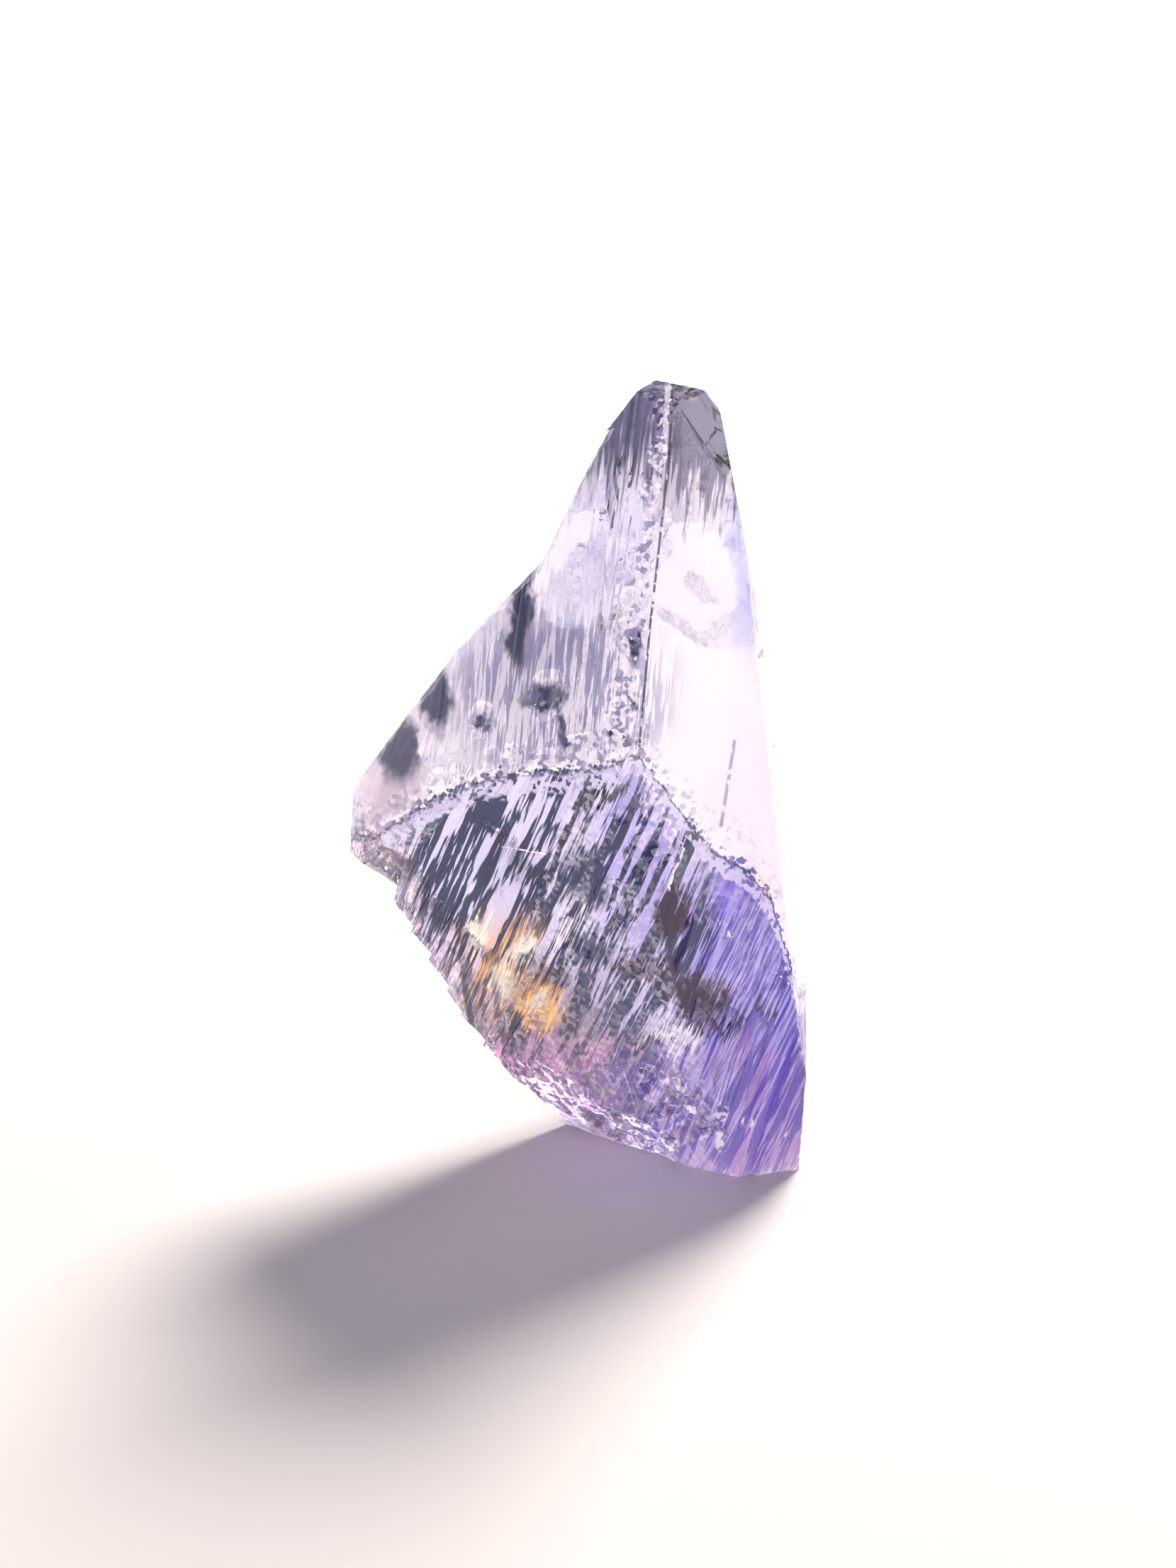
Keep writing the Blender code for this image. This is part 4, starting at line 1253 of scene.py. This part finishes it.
class TanzaniteStoneSettings(PropertyGroup):
    """Sizes and colours of the stone."""
    height: FloatProperty(name="Height", description="How tall the stone stands", unit='LENGTH',
                          default=CAD_BOX[1].z - CAD_BOX[0].z, min=0.005, max=0.1)
    edge_wear: FloatProperty(name="Edge wear", description="How rough the worn edges are", subtype='FACTOR',
                             default=1.0, min=0.1, max=1.5)
    frosting: FloatProperty(name="Frosting", description="Roughness of fully frosted breaks",
                            subtype='FACTOR', default=0.28, min=0.0, max=1.0)
    density: FloatProperty(name="Depth of colour", description="How fast colour builds up inside, per metre",
                           default=28.0, min=0.0, max=500.0)
    clear: colour_setting("Clear stone", "Tint of the clear parts", TINTS["clear"])
    # Painted shade: the tip's tint stands in for light lost to reflection inside the tip
    tip_shade: colour_setting("Smoke", "Tint of the smoky tip", TINTS["tip_shade"])
    # Painted reflection: the streaks' slate tint paints dark surroundings seen through the stone
    slate: colour_setting("Slate", "Tint of the dark growth streaks", TINTS["slate"])
    violet: colour_setting("Violet", "Tint of the violet heart", TINTS["violet"])
    mauve: colour_setting("Mauve", "Tint of the foot", TINTS["mauve"])
    # Partly the stone's own amber, partly painted glints of light refracted through it
    amber: colour_setting("Amber", "Tint of the warm glow low on the left", TINTS["amber"])


class TanzaniteStudioSettings(PropertyGroup):
    """Sizes and colours of the studio."""
    camera_distance: FloatProperty(name="Camera distance", description="From the camera to the stone",
                                   unit='LENGTH', default=0.1, min=0.05, max=2.0)
    camera_rise: FloatProperty(name="Camera rise", description="How far the camera stands above level",
                               unit='ROTATION', default=VIEW_RISE, min=0.0, max=1.5)
    key_power: FloatProperty(name="Key light", description="Power of the key light", unit='POWER',
                             default=1.15, min=0.0, max=100.0)
    floor: colour_setting("Floor", "Colour of the floor", (0.86, 0.81, 0.77))
    backdrop: colour_setting("Backdrop", "Colour behind the floor", (1.0, 0.95, 0.90))


class TANZANITE_OT_add_stone(Operator):
    """Carve the rough tanzanite crystal and give it its material"""
    bl_idname = "tanzanite.add_stone"
    bl_label = "Add Rough Tanzanite"

    def execute(self, context):
        settings = context.scene.tanzanite_stone
        scale = settings.height / (CAD_BOX[1].z - CAD_BOX[0].z)
        stone = carve_stone("tanzanite_stone", settings.edge_wear)
        spread_frost(stone.data)
        stone.data.transform(Matrix.Scale(scale, 4))
        stone.data.shade_smooth()
        stone.data.set_sharp_from_angle(angle=radians(SHARP_ANGLE))
        stone.data.materials.clear()
        tints = {**TINTS, **{label: tuple(getattr(settings, label)) for label in USER_TINTS}}
        stone.data.materials.append(stone_material(tints, settings.density, settings.frosting, scale))
        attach(stone, BODY)
        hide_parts(NODE)
        return {'FINISHED'}


class TANZANITE_OT_add_studio(Operator):
    """Add the pale floor, the soft lights, the surroundings and the camera"""
    bl_idname = "tanzanite.add_studio"
    bl_label = "Add Studio"

    def execute(self, context):
        settings = context.scene.tanzanite_studio
        photo_camera(settings.camera_distance, settings.camera_rise)
        pale_floor((*settings.floor, 1.0))
        studio_world(settings.backdrop)
        for name, (bearing, rise, distance, width, share, colour) in LAMPS.items():
            soft_lamp(name, bearing, rise, distance, width, share * settings.key_power, colour)
        context.scene.view_settings.view_transform = 'Standard'
        context.scene.view_settings.look = 'Medium High Contrast'
        context.scene.cycles.max_bounces = BOUNCES
        return {'FINISHED'}


class TANZANITE_PT_sidebar(Panel):
    """Lists the stone's and the studio's settings and operators"""
    bl_idname = "TANZANITE_PT_sidebar"
    bl_label = "Rough Tanzanite"
    bl_space_type = 'VIEW_3D'
    bl_region_type = 'UI'
    bl_category = "Tanzanite"

    def draw(self, context):
        for settings, operator in ((context.scene.tanzanite_stone, TANZANITE_OT_add_stone),
                                   (context.scene.tanzanite_studio, TANZANITE_OT_add_studio)):
            box = self.layout.box()
            for label in settings.__annotations__:
                box.prop(settings, label)
            box.operator(operator.bl_idname)


CLASSES = (TanzaniteStoneSettings, TanzaniteStudioSettings, TANZANITE_OT_add_stone, TANZANITE_OT_add_studio,
           TANZANITE_PT_sidebar)


def register():
    for one in CLASSES:
        bpy.utils.register_class(one)
    bpy.types.Scene.tanzanite_stone = PointerProperty(type=TanzaniteStoneSettings)
    bpy.types.Scene.tanzanite_studio = PointerProperty(type=TanzaniteStudioSettings)


def unregister():
    del bpy.types.Scene.tanzanite_studio
    del bpy.types.Scene.tanzanite_stone
    for one in reversed(CLASSES):
        bpy.utils.unregister_class(one)


def main():
    """Build the stone and the studio."""
    register()
    bpy.ops.tanzanite.add_stone()
    bpy.ops.tanzanite.add_studio()


if __name__ == "__main__":
    main()
